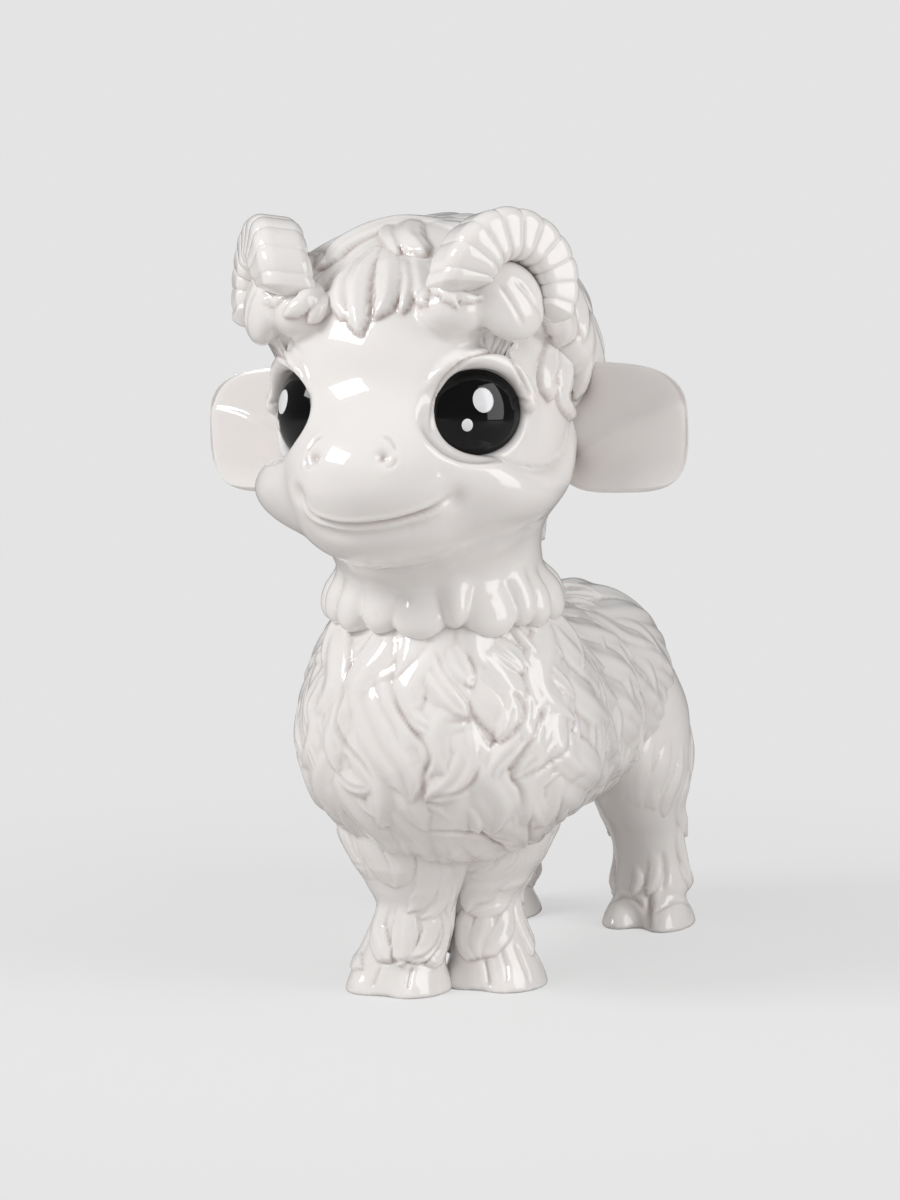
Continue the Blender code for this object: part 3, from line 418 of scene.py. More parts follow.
# The fleece's main locks as the picture shows them: how wide each one is, then its line from root to tip
FLEECE_STROKES = (
    (26, (338, 640), (322, 655), (308, 672)),
    (24, (352, 650), (340, 668), (318, 690)),
    (22, (398, 646), (380, 662), (350, 678)),
    (20, (407, 655), (394, 672), (376, 684)),
    (26, (318, 655), (309, 690), (310, 730), (328, 765)),
    (24, (332, 668), (322, 700), (328, 735), (345, 768)),
    (20, (345, 690), (337, 720), (345, 750)),
    (66, (374, 664), (368, 700), (384, 740), (404, 770), (414, 798)),
    (34, (410, 668), (404, 700), (418, 722), (446, 735)),
    (46, (412, 640), (430, 668), (450, 698), (468, 718)),
    (38, (446, 638), (457, 662), (472, 688)),
    (42, (470, 668), (494, 690), (507, 714), (497, 742)),
    (46, (460, 720), (466, 752), (452, 780), (424, 797)),
    (36, (520, 664), (531, 700), (517, 740), (492, 768), (487, 797)),
    (36, (548, 668), (554, 705), (548, 738), (524, 764), (510, 778)),
    (16, (556, 718), (566, 708), (575, 728), (568, 757), (546, 778), (526, 796)),
    (34, (335, 762), (350, 780), (376, 786)),
    (20, (358, 786), (366, 804), (386, 815)),
    (20, (384, 782), (392, 800), (406, 809), (428, 801)),
    (30, (338, 796), (346, 818), (364, 840)),
    (24, (412, 800), (438, 806), (456, 822)),
    (24, (455, 795), (472, 810), (478, 830)),
    (30, (488, 798), (506, 808), (508, 832)),
    (32, (560, 776), (544, 802), (541, 838)),
    (22, (576, 772), (566, 800), (560, 826)),
    (26, (572, 756), (582, 784), (594, 808)),
    (34, (478, 636), (500, 655), (522, 674)),
    (14, (506, 620), (524, 642), (540, 662)),
    (14, (518, 616), (542, 638), (562, 660)),
    (24, (530, 610), (560, 632), (588, 674)),
    (18, (498, 640), (515, 656), (530, 674)),
    (36, (522, 652), (546, 672), (570, 700)),
    (26, (572, 640), (588, 668), (602, 706)),
    (22, (560, 600), (588, 625), (604, 664)),
    (28, (600, 640), (618, 668), (640, 716)),
    (26, (620, 640), (645, 655), (664, 694)),
    (18, (610, 650), (630, 668), (646, 692)),
    (26, (584, 690), (592, 730), (584, 772), (592, 800)),
    (24, (604, 700), (613, 735), (606, 768), (602, 790)),
    (22, (624, 706), (631, 735), (624, 764)),
    (16, (548, 586), (575, 588), (602, 600)),
    (14, (552, 602), (578, 603), (604, 616)),
)
FLEECE_CREASES = (
    ((434, 652), (446, 677), (459, 694), (469, 710), (467, 719), (446, 722)),
    ((395, 688), (402, 710), (415, 730), (428, 746), (431, 759), (424, 772), (423, 790), (414, 800)),
    ((465, 655), (472, 670), (470, 687)),
    ((504, 691), (519, 703), (521, 714), (515, 726), (502, 737), (492, 744)),
    ((542, 703), (536, 721), (528, 739), (515, 757), (507, 770), (517, 786), (519, 805)),
    ((561, 717), (565, 732), (561, 748), (546, 761), (522, 775)),
    ((479, 761), (471, 781), (462, 788), (439, 793), (424, 797)),
    ((428, 826), (450, 826), (478, 832), (510, 834)),
    ((528, 801), (527, 823), (535, 834), (546, 838)),
    ((558, 792), (555, 812), (546, 836)),
    ((352, 682), (342, 720), (350, 745), (368, 764), (380, 780)),
    ((543, 592), (565, 594), (600, 600)),
    ((641, 730), (636, 755), (628, 772)),
)
# Millimetres on the figure for one pixel of the picture
STROKE_MM = 0.31
# The body's radius, from which a lock's length becomes a turn, and the sweep of the locks to the tail
BODY_RADIUS = 45.0
FLEECE_SWEEP = 26.0


def row_turns(form, spine, turn_down, spacing, offset):
    """Turns round the body at which the locks of one row start, evenly spaced along the skin."""
    turns = np.arange(0.0, 361.0, 4.0)
    directions = compass(np.full(len(turns), turn_down), turns)
    girdle = landed(form, spine_hubs(spine, directions), directions)
    lengths = np.concatenate([[0.0], np.cumsum(np.linalg.norm(np.diff(girdle, axis=0), axis=1))])
    count = max(3, round(lengths[-1] / spacing))
    return np.interp((np.arange(count) + offset) / count * lengths[-1], lengths, turns)


def fleece_rows(form, spine, rows, top, hem, length, spacing, bend):
    """Lines of the small locks under the main ones: rows from the back down, swept to the tail."""
    share = np.linspace(0.0, 1.0, 9)
    for row in range(rows):
        start = top + (hem - top) * row / rows
        drop = math.degrees(length / BODY_RADIUS)
        for index, turn in enumerate(row_turns(form, spine, start, spacing, row % 2 / 2.0)):
            side = math.sin(math.radians(turn))
            swing = bend if (index + row) % 2 else -bend
            turns = turn + FLEECE_SWEEP * side * abs(side) * share + swing * np.sin(2.0 * math.pi * share)
            directions = compass(start + drop * share, turns)
            yield landed(form, spine_hubs(spine, directions), directions)


# Head

def leant(points, turn):
    """The points turned about the head's middle: its left side goes up where the turn is positive."""
    sine, cosine = math.sin(turn), math.cos(turn)
    local = points - HEAD
    return HEAD + np.stack([local[..., 0] * cosine - local[..., 2] * sine, local[..., 1],
                            local[..., 0] * sine + local[..., 2] * cosine], axis=-1)


def tilted(points):
    return leant(points, HEAD_TILT)


def untilted(points):
    return leant(points, -HEAD_TILT)


EYE_SIZE = (33.0, 31.0, 22.0)
EYE_MIDDLE = np.array((25.4, -94.4, 188.2))
EYE_TURN, EYE_RISE = math.radians(44.0), math.radians(2.0)
HORN_MIDDLE = np.array((40.0, -97.0, 225.4))
HORN_TURN, HORN_RISE = math.radians(52.0), math.radians(8.0)


def faced(turn, rise):
    """Sideways, upward and outward directions of a thing on the left side that faces out at a turn."""
    outward = np.array((math.sin(turn) * math.cos(rise), -math.cos(turn) * math.cos(rise), math.sin(rise)))
    sideways = np.cross(UP, outward)
    sideways /= np.linalg.norm(sideways)
    return sideways, np.cross(outward, sideways), outward


def on_side(points, hand):
    """Points of the left side, kept or mirrored to the right one, and leant with the head."""
    return tilted(np.asarray(points) * (hand, 1.0, 1.0))


def turned_ball(middle, size, axes):
    """An ellipsoid whose sizes run along three directions."""
    axes = np.stack(axes)
    upright = ball((0.0, 0.0, 0.0), size)
    return lambda points: upright((points - middle) @ axes.T)


def well(middle, axes, size, level):
    """An oval hole with upright walls whose bottom lies at a level over the middle."""
    half = np.array(size) / 2.0

    def distance(points):
        local = (points - middle) @ np.stack(axes).T
        wall = (np.linalg.norm(local[:, :2] / half, axis=1) - 1.0) * half.min()
        return np.maximum(wall, level - local[:, 2])
    return distance


def ring(middle, axes, size, thickness, first, last, count=18):
    """A round rim that follows an oval of the given size from the first turn to the last."""
    turns = np.radians(np.linspace(first, last, count))
    spots = (middle + np.cos(turns)[:, None] * axes[0] * size[0] / 2.0
             + np.sin(turns)[:, None] * axes[1] * size[1] / 2.0)

    def distance(points):
        starts, runs = spots[:-1], np.diff(spots, axis=0)
        nearest = np.full(len(points), FAR_OFF)
        for start, run in zip(starts, runs):
            share = np.clip((points - start) @ run / (run @ run), 0.0, 1.0)
            nearest = np.minimum(nearest, np.linalg.norm(points - start - share[:, None] * run, axis=1))
        return nearest - thickness / 2.0
    return distance


# Rims round the eye: how far each one stands out from the eye's middle, the oval that it follows, its
# thickness, and the turns from the outer corner over the top at which it starts and ends
UPPER_LID = (9.0, (32.6, 31.4), 6.6, (8.0, 150.0))
LOWER_LID = (7.2, (30.4, 28.4), 2.8, (280.0, 370.0))
LID_VALLEY = (14.6, (42.5, 41.0), 6.0, (28.0, 160.0))
LID_SLANT = 0.15
# Ellipsoids at the eye: how far their middles lie from the eye's, sideways, upwards and outwards, then
# their sizes in these directions
EYE_DISH = ((-4.2, 0.0, 13.4), (33.0, 29.5, 15.0))
TEMPLE_REACH = ((17.0, 3.0, 0.0), (46.0, 38.0, 80.0))
TEMPLE_BALL = ((0.0, 0.0, -39.2), (100.0, 100.0, 100.0))
# The oval in which the eye shows, how far it lies below the eye's middle, and how far out its bottom is
EYE_OPENING, EYE_OPENING_DROP, EYE_OPENING_LEVEL = (28.0, 24.8), 0.3, 2.6
# The cheek, from the head's middle and upright
CHEEK = ((30.0, -20.0, -24.0), (34.0, 38.0, 32.0))
# The leaf of hair inside the horn's curl, the ball that it springs from, and the bank under the horn, all
# three from the horn's middle
LEAF = ((0.5, -4.0, -1.0), (22.0, 25.0, 13.0))
LEAF_LEAN = math.radians(-28.0)
LEAF_ROOT = ((0.0, 0.0, -13.0), (26.0, 26.0, 26.0))
HORN_BANK = ((-14.0, -5.0, -9.0), (22.0, 17.0, 19.0))


def beside(middle, axes, part, turned=None):
    """An ellipsoid set off from a middle along three directions, or turned to others if those are given."""
    (sideways, upward, outward), size = part
    spot = middle + axes[2] * outward + axes[0] * sideways + axes[1] * upward
    return turned_ball(spot, size, turned or axes)


def left_head_parts():
    """Forms that the head has on both sides, given for the left one."""
    axes = faced(EYE_TURN, EYE_RISE)
    slanted = (axes[0] - axes[2] * LID_SLANT, axes[1], axes[2])
    upper_lid, lower_lid, valley = [
        ring(EYE_MIDDLE + axes[2] * ahead, slanted, size, thickness, *turns)
        for ahead, size, thickness, turns in (UPPER_LID, LOWER_LID, LID_VALLEY)]
    lid = blended([upper_lid, lower_lid], FILLETS["lids"])
    opening = well(EYE_MIDDLE - axes[1] * EYE_OPENING_DROP, axes, EYE_OPENING, EYE_OPENING_LEVEL)
    socket = blended([opening, beside(EYE_MIDDLE, axes, EYE_DISH)], FILLETS["opening"])
    # At the temple, outside the eye, the head is flatter than a ball
    around, level = beside(EYE_MIDDLE, axes, TEMPLE_REACH), beside(EYE_MIDDLE, axes, TEMPLE_BALL)

    def temple(points):
        return np.maximum(around(points), -level(points))

    cheek = ball(HEAD + CHEEK[0], CHEEK[1])
    axes = faced(HORN_TURN, HORN_RISE)
    across = math.cos(LEAF_LEAN) * axes[0] - math.sin(LEAF_LEAN) * axes[1]
    above = math.sin(LEAF_LEAN) * axes[0] + math.cos(LEAF_LEAN) * axes[1]
    leaf = beside(HORN_MIDDLE, axes, LEAF, (across, above, axes[2]))
    root, bank = beside(HORN_MIDDLE, axes, LEAF_ROOT), beside(HORN_MIDDLE, axes, HORN_BANK)
    tuft = blended([leaf, root, bank], FILLETS["leaf"])
    return lid, valley, socket, temple, cheek, tuft


# Lobes of the ruff: the turn from the front to the left at which each one hangs, how low, and how broad
RUFF_LOBES = (
    (-50, 120.5, 10.0), (-34, 119.0, 12.0), (-12, 119.5, 13.0), (9, 118.0, 15.5), (28, 122.0, 8.5),
    (47, 118.5, 16.0), (66, 121.5, 9.5), (79, 120.5, 11.0), (99, 121.0, 14.0), (120, 121.5, 12.0),
    (141, 122.0, 12.0), (161, 122.5, 12.0), (181, 122.5, 12.0), (201, 122.5, 12.0), (221, 122.0, 12.0),
    (241, 121.5, 12.0), (260, 121.0, 12.0), (277, 120.5, 11.0), (293, 120.5, 11.0))
# The lobes' lean, how far out and how far above their lowest points their middles lie, their length and
# thickness, and how far they reach under their neighbours
RUFF_FLARE, RUFF_RADIUS = math.radians(20.0), 33.0
LOBE_RISE, LOBE_LENGTH, LOBE_THICKNESS = 8.0, 17.0, 11.0
LOBE_SPREAD = 1.15
# The head's masses: how far each one's middle lies from the head's, then its width, length and height
HEAD_MASSES = {
    "skull": ((0.0, 0.0, 0.0), (98.0, 90.0, 90.0)),
    "hair": ((0.0, 13.0, 9.0), (98.0, 96.0, 86.0)),
    "jaw": ((0.0, -8.0, -22.0), (100.0, 80.0, 60.0)),
    "muzzle": ((0.0, -38.0, -25.0), (50.0, 48.0, 38.0)),
    "chin": ((0.0, -30.0, -39.0), (44.0, 36.0, 24.0)),
}
NECK_FOOT = NECK + (0.0, 0.0, -2.0)
NECK_DIAMETERS = (62.0, 65.0)
# How softly each part runs into the head or is cut out of it, then how softly the forms inside a part meet
FILLETS = {"cheek": 10.0, "neck": 14.0, "temple": 16.0, "valley": 4.0, "lid": 2.4, "socket": 3.0,
           "tuft": 2.0, "ruff": 4.0, "masses": 14.0, "lids": 2.0, "opening": 1.0, "leaf": 3.0, "lobes": 1.0}


def ruff():
    """Petals side by side round the neck's foot, each leaning outwards towards its tip."""
    lobes = []
    for turn, low, breadth in RUFF_LOBES:
        away = np.array((math.sin(math.radians(turn)), -math.cos(math.radians(turn)), 0.0))
        across = np.array((-away[1], away[0], 0.0))
        out = away * math.cos(RUFF_FLARE) + UP * math.sin(RUFF_FLARE)
        above = UP * math.cos(RUFF_FLARE) - away * math.sin(RUFF_FLARE)
        middle = np.array((0.0, NECK[1], low + LOBE_RISE)) + away * RUFF_RADIUS
        size = (breadth * LOBE_SPREAD, LOBE_LENGTH, LOBE_THICKNESS)
        lobes.append(turned_ball(middle, size, (across, above, out)))
    return lobes


def head_form():
    main = blended([ball(HEAD + offset, size) for offset, size in HEAD_MASSES.values()], FILLETS["masses"])
    neck = limb(HEAD, NECK_FOOT, *NECK_DIAMETERS)
    lid, valley, socket, temple, cheek, tuft = left_head_parts()
    scallops = blended(ruff(), FILLETS["lobes"])

    def distance(points):
        local = untilted(points)
        both = np.column_stack([np.abs(local[:, 0]), local[:, 1:]])
        smooth = joined(main(local), cheek(both), FILLETS["cheek"])
        smooth = joined(smooth, neck(points), FILLETS["neck"])
        smooth = trimmed(smooth, -temple(both), FILLETS["temple"])
        smooth = trimmed(smooth, -valley(both), FILLETS["valley"])
        smooth = joined(smooth, lid(both), FILLETS["lid"])
        smooth = trimmed(smooth, -socket(both), FILLETS["socket"])
        smooth = joined(smooth, tuft(both), FILLETS["tuft"])
        return joined(smooth, scallops(points), FILLETS["ruff"])
    return distance


# Hair over the forehead and behind the near horn, as the picture shows it: width, then root to tip
HAIR_STROKES = (
    (44, (436, 220), (392, 224), (350, 243), (316, 270)),
    (24, (340, 262), (320, 284), (302, 304), (284, 318)),
    (22, (338, 284), (324, 304), (306, 323)),
    (24, (354, 262), (341, 285), (342, 305), (352, 322)),
    (30, (374, 250), (358, 282), (358, 310), (361, 337)),
    (28, (386, 250), (389, 280), (386, 302), (376, 320)),
    (18, (388, 222), (390, 240), (399, 257)),
    (34, (414, 220), (408, 238), (426, 258)),
    (16, (400, 258), (408, 285), (402, 316)),
    (24, (416, 258), (420, 284), (428, 306)),
    (24, (424, 262), (440, 286), (458, 309)),
    (12, (436, 288), (462, 297), (486, 298)),
    (28, (566, 322), (552, 350), (544, 382), (549, 402)),
    (24, (578, 334), (562, 364), (560, 394), (571, 418)),
    (22, (584, 320), (588, 346), (582, 376), (575, 400)),
    (26, (594, 300), (606, 326), (606, 362)),
)
# Rows of locks on the crown and nape: how many, where the first one starts, the step between them and how
# far each reaches, in degrees from straight up. Each row leaves the forehead clear up to a turn to either
# side. A row's locks are counted a little below its start, where it is wider.
BACK_HAIR = {"tiers": 5, "first": 10.0, "step": 22.0, "reach": 42.0, "width": 13.5,
             "bend": 7.0, "counted_at": 16.0, "clear": (66.0, 79.0, 98.0, 124.0, 128.0)}
SKULL_WIDTH = 100.0
MOUTH = ((301, 500), (312, 515), (330, 523), (372, 525), (405, 519), (430, 510), (449, 499))
MOUTH_CORNERS = ((298, 495), (456, 499))
# The hollow under the lip follows the mouth this many pixels lower
LIP_DROP = 9
CHIN_CREASE = ((345, 562), (362, 566), (385, 566))
NOSTRIL = (383, 457)
# Creases on both sides of the face: width, depth and raised edges, then the line that the picture shows.
# They are the upper lid's two folds, the furrows of the tuft by the horn, and the nostril's rims.
SIDE_CREASES = (
    (1.7, 1.3, 0.1, (431, 430), (433, 408), (440, 388), (452, 371), (470, 357), (490, 351), (506, 355),
     (519, 370), (526, 388), (536, 401)),
    (1.4, 0.5, 0.2, (512, 398), (524, 401), (538, 402)),
    (1.7, 0.5, 0.3, (498, 284), (510, 300), (524, 326)),
    (1.7, 0.5, 0.3, (514, 280), (530, 298), (541, 322)),
    (1.4, 0.5, 0.3, (383, 436), (391, 441), (396, 451)),
    (1.4, 0.5, 0.3, (385, 467), (393, 465), (397, 457)),
)


def mirrored(path):
    return path * (-1.0, 1.0, 1.0)


def to_far_side(path):
    return tilted(mirrored(untilted(path)))


def back_hair_rows(form):
    """Lines of the locks that fall from the crown behind the forehead and down the nape."""
    share = np.linspace(0.0, 1.0, 9)
    for tier in range(BACK_HAIR["tiers"]):
        start = BACK_HAIR["first"] + BACK_HAIR["step"] * tier
        widest = math.sin(math.radians(min(start + BACK_HAIR["counted_at"], 90.0)))
        count = round(math.pi * SKULL_WIDTH * widest / BACK_HAIR["width"])
        for index in range(count):
            turn = (index + tier % 2 / 2.0) / count * 360.0 - 180.0
            if abs(turn) < BACK_HAIR["clear"][tier]:
                continue
            bend = BACK_HAIR["bend"] if index % 2 else -BACK_HAIR["bend"]
            turns = turn + bend * np.sin(math.pi * 1.5 * share)
            directions = compass(start + BACK_HAIR["reach"] * share, turns)
            yield landed(form, np.repeat(HEAD[None], len(share), axis=0), directions)


# Legs

FRONT_LEVELS = (0.0, 9.0, 14.0, 20.0, 26.0, 34.0, 42.0, 50.0, 62.0, 74.0)
FRONT_SWAY = (0.0, 0.8, 2.2, 3.8, 5.0, 4.8, 4.0, 3.4, 3.0, 3.0)
FRONT_WIDTHS = (33.0, 28.0, 26.5, 25.6, 25.0, 31.0, 39.0, 44.0, 42.0, 36.0)
FRONT_LENGTHS = (31.0, 27.6, 26.5, 26.0, 25.5, 31.0, 38.0, 42.0, 40.0, 36.0)
FRONT_RIGHT = np.array((-15.8, -51.0))
FRONT_LEFT = np.array((9.8, -32.0))
HIND_LEVELS = (0.0, 8.0, 14.0, 22.0, 32.0, 40.0, 50.0, 62.0, 76.0, 92.0)
HIND_SLIDE = (0.0, 1.0, 3.0, 3.0, -1.0, -6.0, -9.0, -11.0, -12.0, -12.0)
HIND_WIDTHS = (23.0, 24.0, 27.0, 25.0, 25.0, 27.0, 33.0, 36.0, 36.0, 26.0)
HIND_LENGTHS = (20.0, 23.0, 27.5, 27.0, 29.0, 34.0, 44.0, 54.0, 54.0, 40.0)
HIND_LEFT = np.array((26.0, 76.0))
HIND_RIGHT = np.array((-31.0, 74.0))
FRONT_SWAY_BACK = 0.3
HIND_LEAN = 2.5
# Hooves: width and length, how far each toe's middle lies aside and how wide it is, as shares of that
# width, its height, how far ahead of the leg and how high its middle lies, and the fillets between the
# toes, at the sole and at the leg
FRONT_HOOF, HIND_HOOF = (32.0, 31.0), (31.0, 32.0)
TOE_ASIDE, TOE_BREADTH, TOE_HEIGHT = 0.25, 0.56, 30.0
TOE_AHEAD, TOE_MIDDLE = 0.5, -4.0
CLEFT_FILLET, SOLE_FILLET, HOOF_FILLET = 1.5, 1.6, 2.5

# Rows of locks down a leg: top, foot, how many go round, and how wide and high each one is
LEG_ROWS = ((70.0, 44.0, 9, 13.0, 2.3), (56.0, 31.0, 8, 12.5, 2.3), (29.0, 10.0, 9, 9.5, 1.5))

# Locks on the legs as the picture shows them: width, then root to tip
FRONT_RIGHT_STROKES = (
    (34, (350, 796), (344, 822), (350, 852), (368, 876)),
    (32, (374, 806), (367, 838), (380, 868), (396, 888)),
    (32, (402, 806), (396, 838), (402, 866), (394, 888)),
    (28, (420, 840), (429, 868), (424, 894), (408, 912)),
    (20, (440, 856), (446, 884), (441, 904), (420, 918)),
    (16, (448, 876), (452, 898), (447, 918)),
    (26, (364, 912), (358, 935), (357, 954), (363, 970)),
    (30, (384, 902), (378, 924), (381, 946), (391, 963)),
    (28, (404, 904), (405, 930), (403, 950), (400, 966)),
    (26, (424, 910), (433, 930), (425, 949), (406, 961)),
    (22, (445, 914), (447, 936), (441, 954), (425, 965)),
)
FRONT_RIGHT_LINES = (
    (1.5, 0.9, (441, 926), (433, 946), (421, 956), (405, 959)),
    (1.4, 0.6, (380, 963), (400, 961), (420, 963), (447, 965)),
    (1.7, 0.9, (413, 966), (409, 978), (407, 990)),
    (1.6, 0.5, (381, 966), (376, 978), (372, 987)),
    (1.6, 0.7, (345, 850), (353, 860), (364, 866)),
    (1.6, 0.6, (352, 866), (362, 876), (378, 880)),
)
FRONT_LEFT_STROKES = (
    (32, (503, 844), (484, 845), (465, 851), (452, 868)),
    (24, (515, 846), (509, 864), (492, 873), (470, 877)),
    (26, (533, 846), (530, 868), (518, 884), (500, 890)),
    (28, (492, 878), (479, 890), (470, 901), (467, 913)),
    (24, (515, 886), (502, 900), (486, 908), (470, 913)),
    (24, (541, 852), (541, 872), (533, 890), (522, 905)),
    (26, (470, 908), (463, 928), (466, 947), (478, 959)),
    (24, (488, 908), (483, 928), (478, 945), (481, 959)),
    (24, (510, 908), (504, 928), (493, 945), (483, 957)),
    (20, (517, 908), (523, 928), (529, 945), (531, 956)),
)
FRONT_LEFT_LINES = (
    (1.5, 0.9, (453, 871), (472, 873), (490, 868), (500, 856)),
    (1.5, 0.8, (505, 873), (515, 862), (517, 842)),
    (1.5, 0.7, (502, 884), (491, 899), (472, 905)),
    (2.0, 1.1, (485, 958), (488, 972), (490, 987)),
    (1.7, 0.6, (501, 950), (506, 966), (507, 986)),
    (1.6, 0.6, (516, 944), (523, 964), (530, 983)),
)
HIND_LEFT_STROKES = (
    (30, (650, 742), (641, 765), (637, 786), (641, 808)),
    (28, (668, 744), (661, 770), (652, 790), (655, 810)),
    (24, (682, 748), (678, 775), (669, 797), (664, 817)),
    (26, (630, 770), (618, 786), (612, 800), (616, 816)),
    (26, (612, 790), (602, 804), (598, 818), (603, 832)),
    (22, (684, 800), (680, 830), (684, 862), (690, 890)),
    (16, (652, 852), (655, 872), (648, 896)),
    (14, (636, 866), (638, 880), (633, 896)),
    (12, (612, 858), (606, 874), (610, 892)),
)
HIND_LEFT_LINES = (
    (2.4, 1.6, (650, 894), (649, 910), (649, 930)),
    (1.6, 0.7, (604, 906), (622, 897), (638, 902), (646, 916)),
    (1.6, 0.7, (655, 914), (668, 905), (688, 904)),
    (2.2, 0.9, (662, 850), (665, 872), (662, 892)),
)


def toes(place, width, length):
    """The split hoof under a leg."""
    size = (width * TOE_BREADTH, length, TOE_HEIGHT)
    spots = [(place[0] + side * width * TOE_ASIDE, place[1] - TOE_AHEAD, TOE_MIDDLE) for side in (-1.0, 1.0)]
    both = blended([ball(spot, size) for spot in spots], CLEFT_FILLET)
    return lambda points: trimmed(both(points), -points[:, 2], SOLE_FILLET)


def front_leg_form(place, inward):
    middles = [(place[0] + inward * sway, place[1] + sway * FRONT_SWAY_BACK) for sway in FRONT_SWAY]
    column = post(FRONT_LEVELS, middles, FRONT_WIDTHS, FRONT_LENGTHS)
    return blended([column, toes(place, *FRONT_HOOF)], HOOF_FILLET)


def hind_leg_form(place, inward):
    middles = [(place[0] + inward * HIND_LEAN * level / HIND_LEVELS[-1], place[1] + slide)
               for level, slide in zip(HIND_LEVELS, HIND_SLIDE)]
    column = post(HIND_LEVELS, middles, HIND_WIDTHS, HIND_LENGTHS)
    return blended([column, toes(place, *HIND_HOOF)], HOOF_FILLET)


# Node trees

def plug(tree, node, values):
    """Sets the node's inputs, or links those that are given as sockets."""
    for key, value in values.items():
        socket = node.inputs[key]
        if isinstance(value, bpy.types.NodeSocket):
            tree.links.new(value, socket)
        else:
            socket.default_value = value
    return node


def add(tree, kind, settings=None, links=None):
    """Adds one node with its properties and its inputs."""
    made = tree.nodes.new(kind)
    for name, value in (settings or {}).items():
        setattr(made, name, value)
    return plug(tree, made, links or {})


# Horns: a spiral swept by Geometry Nodes, ribbed all along

# Millimetres, turns and shares
HORN_SIZES = {"Start Radius": 15.2, "End Radius": 16.4, "Turns": 0.62, "Section Width": 17.0,
              "Section Depth": 17.0, "Edge Radius": 4.6, "Ribs": 11.0, "Rib Depth": 0.085, "Tip Share": 0.6,
              "Rounded Ends": 0.05}
# The turn from the sideways direction, towards upwards, at which the spiral starts
HORN_START = math.radians(185.0)
# How deep the horn's start goes into the head, and the turn over which it rises out of it
HORN_SUNK, HORN_SUNK_TURN = 5.0, math.radians(60.0)
HORN_WHOLE_TURN = math.tau * 0.9
# Powers that shape the ribs' swell, the taper and the rounded ends
RIB_SWELL, TAPER_BEND, END_SWELL = 0.38, 2.2, 0.42


def horn_tree():
    tree = bpy.data.node_groups.new("ribbed_horn", "GeometryNodeTree")
    for name in HORN_SIZES:
        tree.interface.new_socket(name=name, in_out="INPUT", socket_type="NodeSocketFloat")
    tree.interface.new_socket(name="Glaze", in_out="INPUT", socket_type="NodeSocketMaterial")
    tree.interface.new_socket(name="Geometry", in_out="OUTPUT", socket_type="NodeSocketGeometry")
    sizes = tree.nodes.new("NodeGroupInput").outputs
    spiral = add(tree, "GeometryNodeCurveSpiral", links={
        "Resolution": 420, "Rotations": sizes["Turns"], "Start Radius": sizes["Start Radius"],
        "End Radius": sizes["End Radius"], "Height": 0.0, "Reverse": False})
    level = add(tree, "GeometryNodeSetCurveNormal", {"mode": "Z_UP"}, {"Curve": spiral.outputs[0]})
    along = add(tree, "GeometryNodeSplineParameter").outputs["Factor"]
    beat = add(tree, "ShaderNodeMath", {"operation": "MULTIPLY"}, {0: along, 1: sizes["Ribs"]}).outputs[0]
    swing = add(tree, "ShaderNodeMath", {"operation": "MULTIPLY"}, {0: beat, 1: math.pi}).outputs[0]
    wave = add(tree, "ShaderNodeMath", {"operation": "SINE"}, {0: swing}).outputs[0]
    rise = add(tree, "ShaderNodeMath", {"operation": "ABSOLUTE"}, {0: wave}).outputs[0]
    pillow = add(tree, "ShaderNodeMath", {"operation": "POWER"}, {0: rise, 1: RIB_SWELL}).outputs[0]
    hollow = add(tree, "ShaderNodeMath", {"operation": "SUBTRACT"}, {0: 1.0, 1: pillow}).outputs[0]
    groove = add(tree, "ShaderNodeMath", {"operation": "MULTIPLY"}, {
        0: hollow, 1: sizes["Rib Depth"]}).outputs[0]
    slim = add(tree, "ShaderNodeMath", {"operation": "POWER"}, {0: along, 1: TAPER_BEND}).outputs[0]
    lost = add(tree, "ShaderNodeMath", {"operation": "SUBTRACT"}, {0: 1.0, 1: sizes["Tip Share"]}).outputs[0]
    taper = add(tree, "ShaderNodeMath", {"operation": "MULTIPLY"}, {0: slim, 1: lost}).outputs[0]
    spent = add(tree, "ShaderNodeMath", {"operation": "ADD"}, {0: taper, 1: groove}).outputs[0]
    full = add(tree, "ShaderNodeMath", {"operation": "SUBTRACT"}, {0: 1.0, 1: spent}).outputs[0]
    behind = add(tree, "ShaderNodeMath", {"operation": "SUBTRACT"}, {0: 1.0, 1: along}).outputs[0]
    to_end = add(tree, "ShaderNodeMath", {"operation": "MINIMUM"}, {0: along, 1: behind}).outputs[0]
    reach = add(tree, "ShaderNodeMapRange", links={
        "Value": to_end, "From Max": sizes["Rounded Ends"]}).outputs[0]
    dome = add(tree, "ShaderNodeMath", {"operation": "POWER"}, {0: reach, 1: END_SWELL}).outputs[0]
    radius = add(tree, "ShaderNodeMath", {"operation": "MULTIPLY"}, {0: full, 1: dome}).outputs[0]
    section = add(tree, "GeometryNodeCurvePrimitiveQuadrilateral", links={
        "Width": sizes["Section Width"], "Height": sizes["Section Depth"]})
    eased = add(tree, "GeometryNodeFilletCurve", {"mode": "POLY"}, {
        "Curve": section.outputs[0], "Count": 9, "Radius": sizes["Edge Radius"]})
    dense = add(tree, "GeometryNodeResampleCurve", links={"Curve": eased.outputs[0], "Count": 72})
    swept = add(tree, "GeometryNodeCurveToMesh", links={
        "Curve": level.outputs[0], "Profile Curve": dense.outputs[0], "Scale": radius, "Fill Caps": True})
    whole = add(tree, "GeometryNodeRealizeInstances", links={"Geometry": swept.outputs[0]})
    glazed = add(tree, "GeometryNodeSetMaterial", links={
        "Geometry": whole.outputs[0], "Material": sizes["Glaze"]})
    out = tree.nodes.new("NodeGroupOutput")
    tree.links.new(glazed.outputs[0], out.inputs["Geometry"])
    return tree


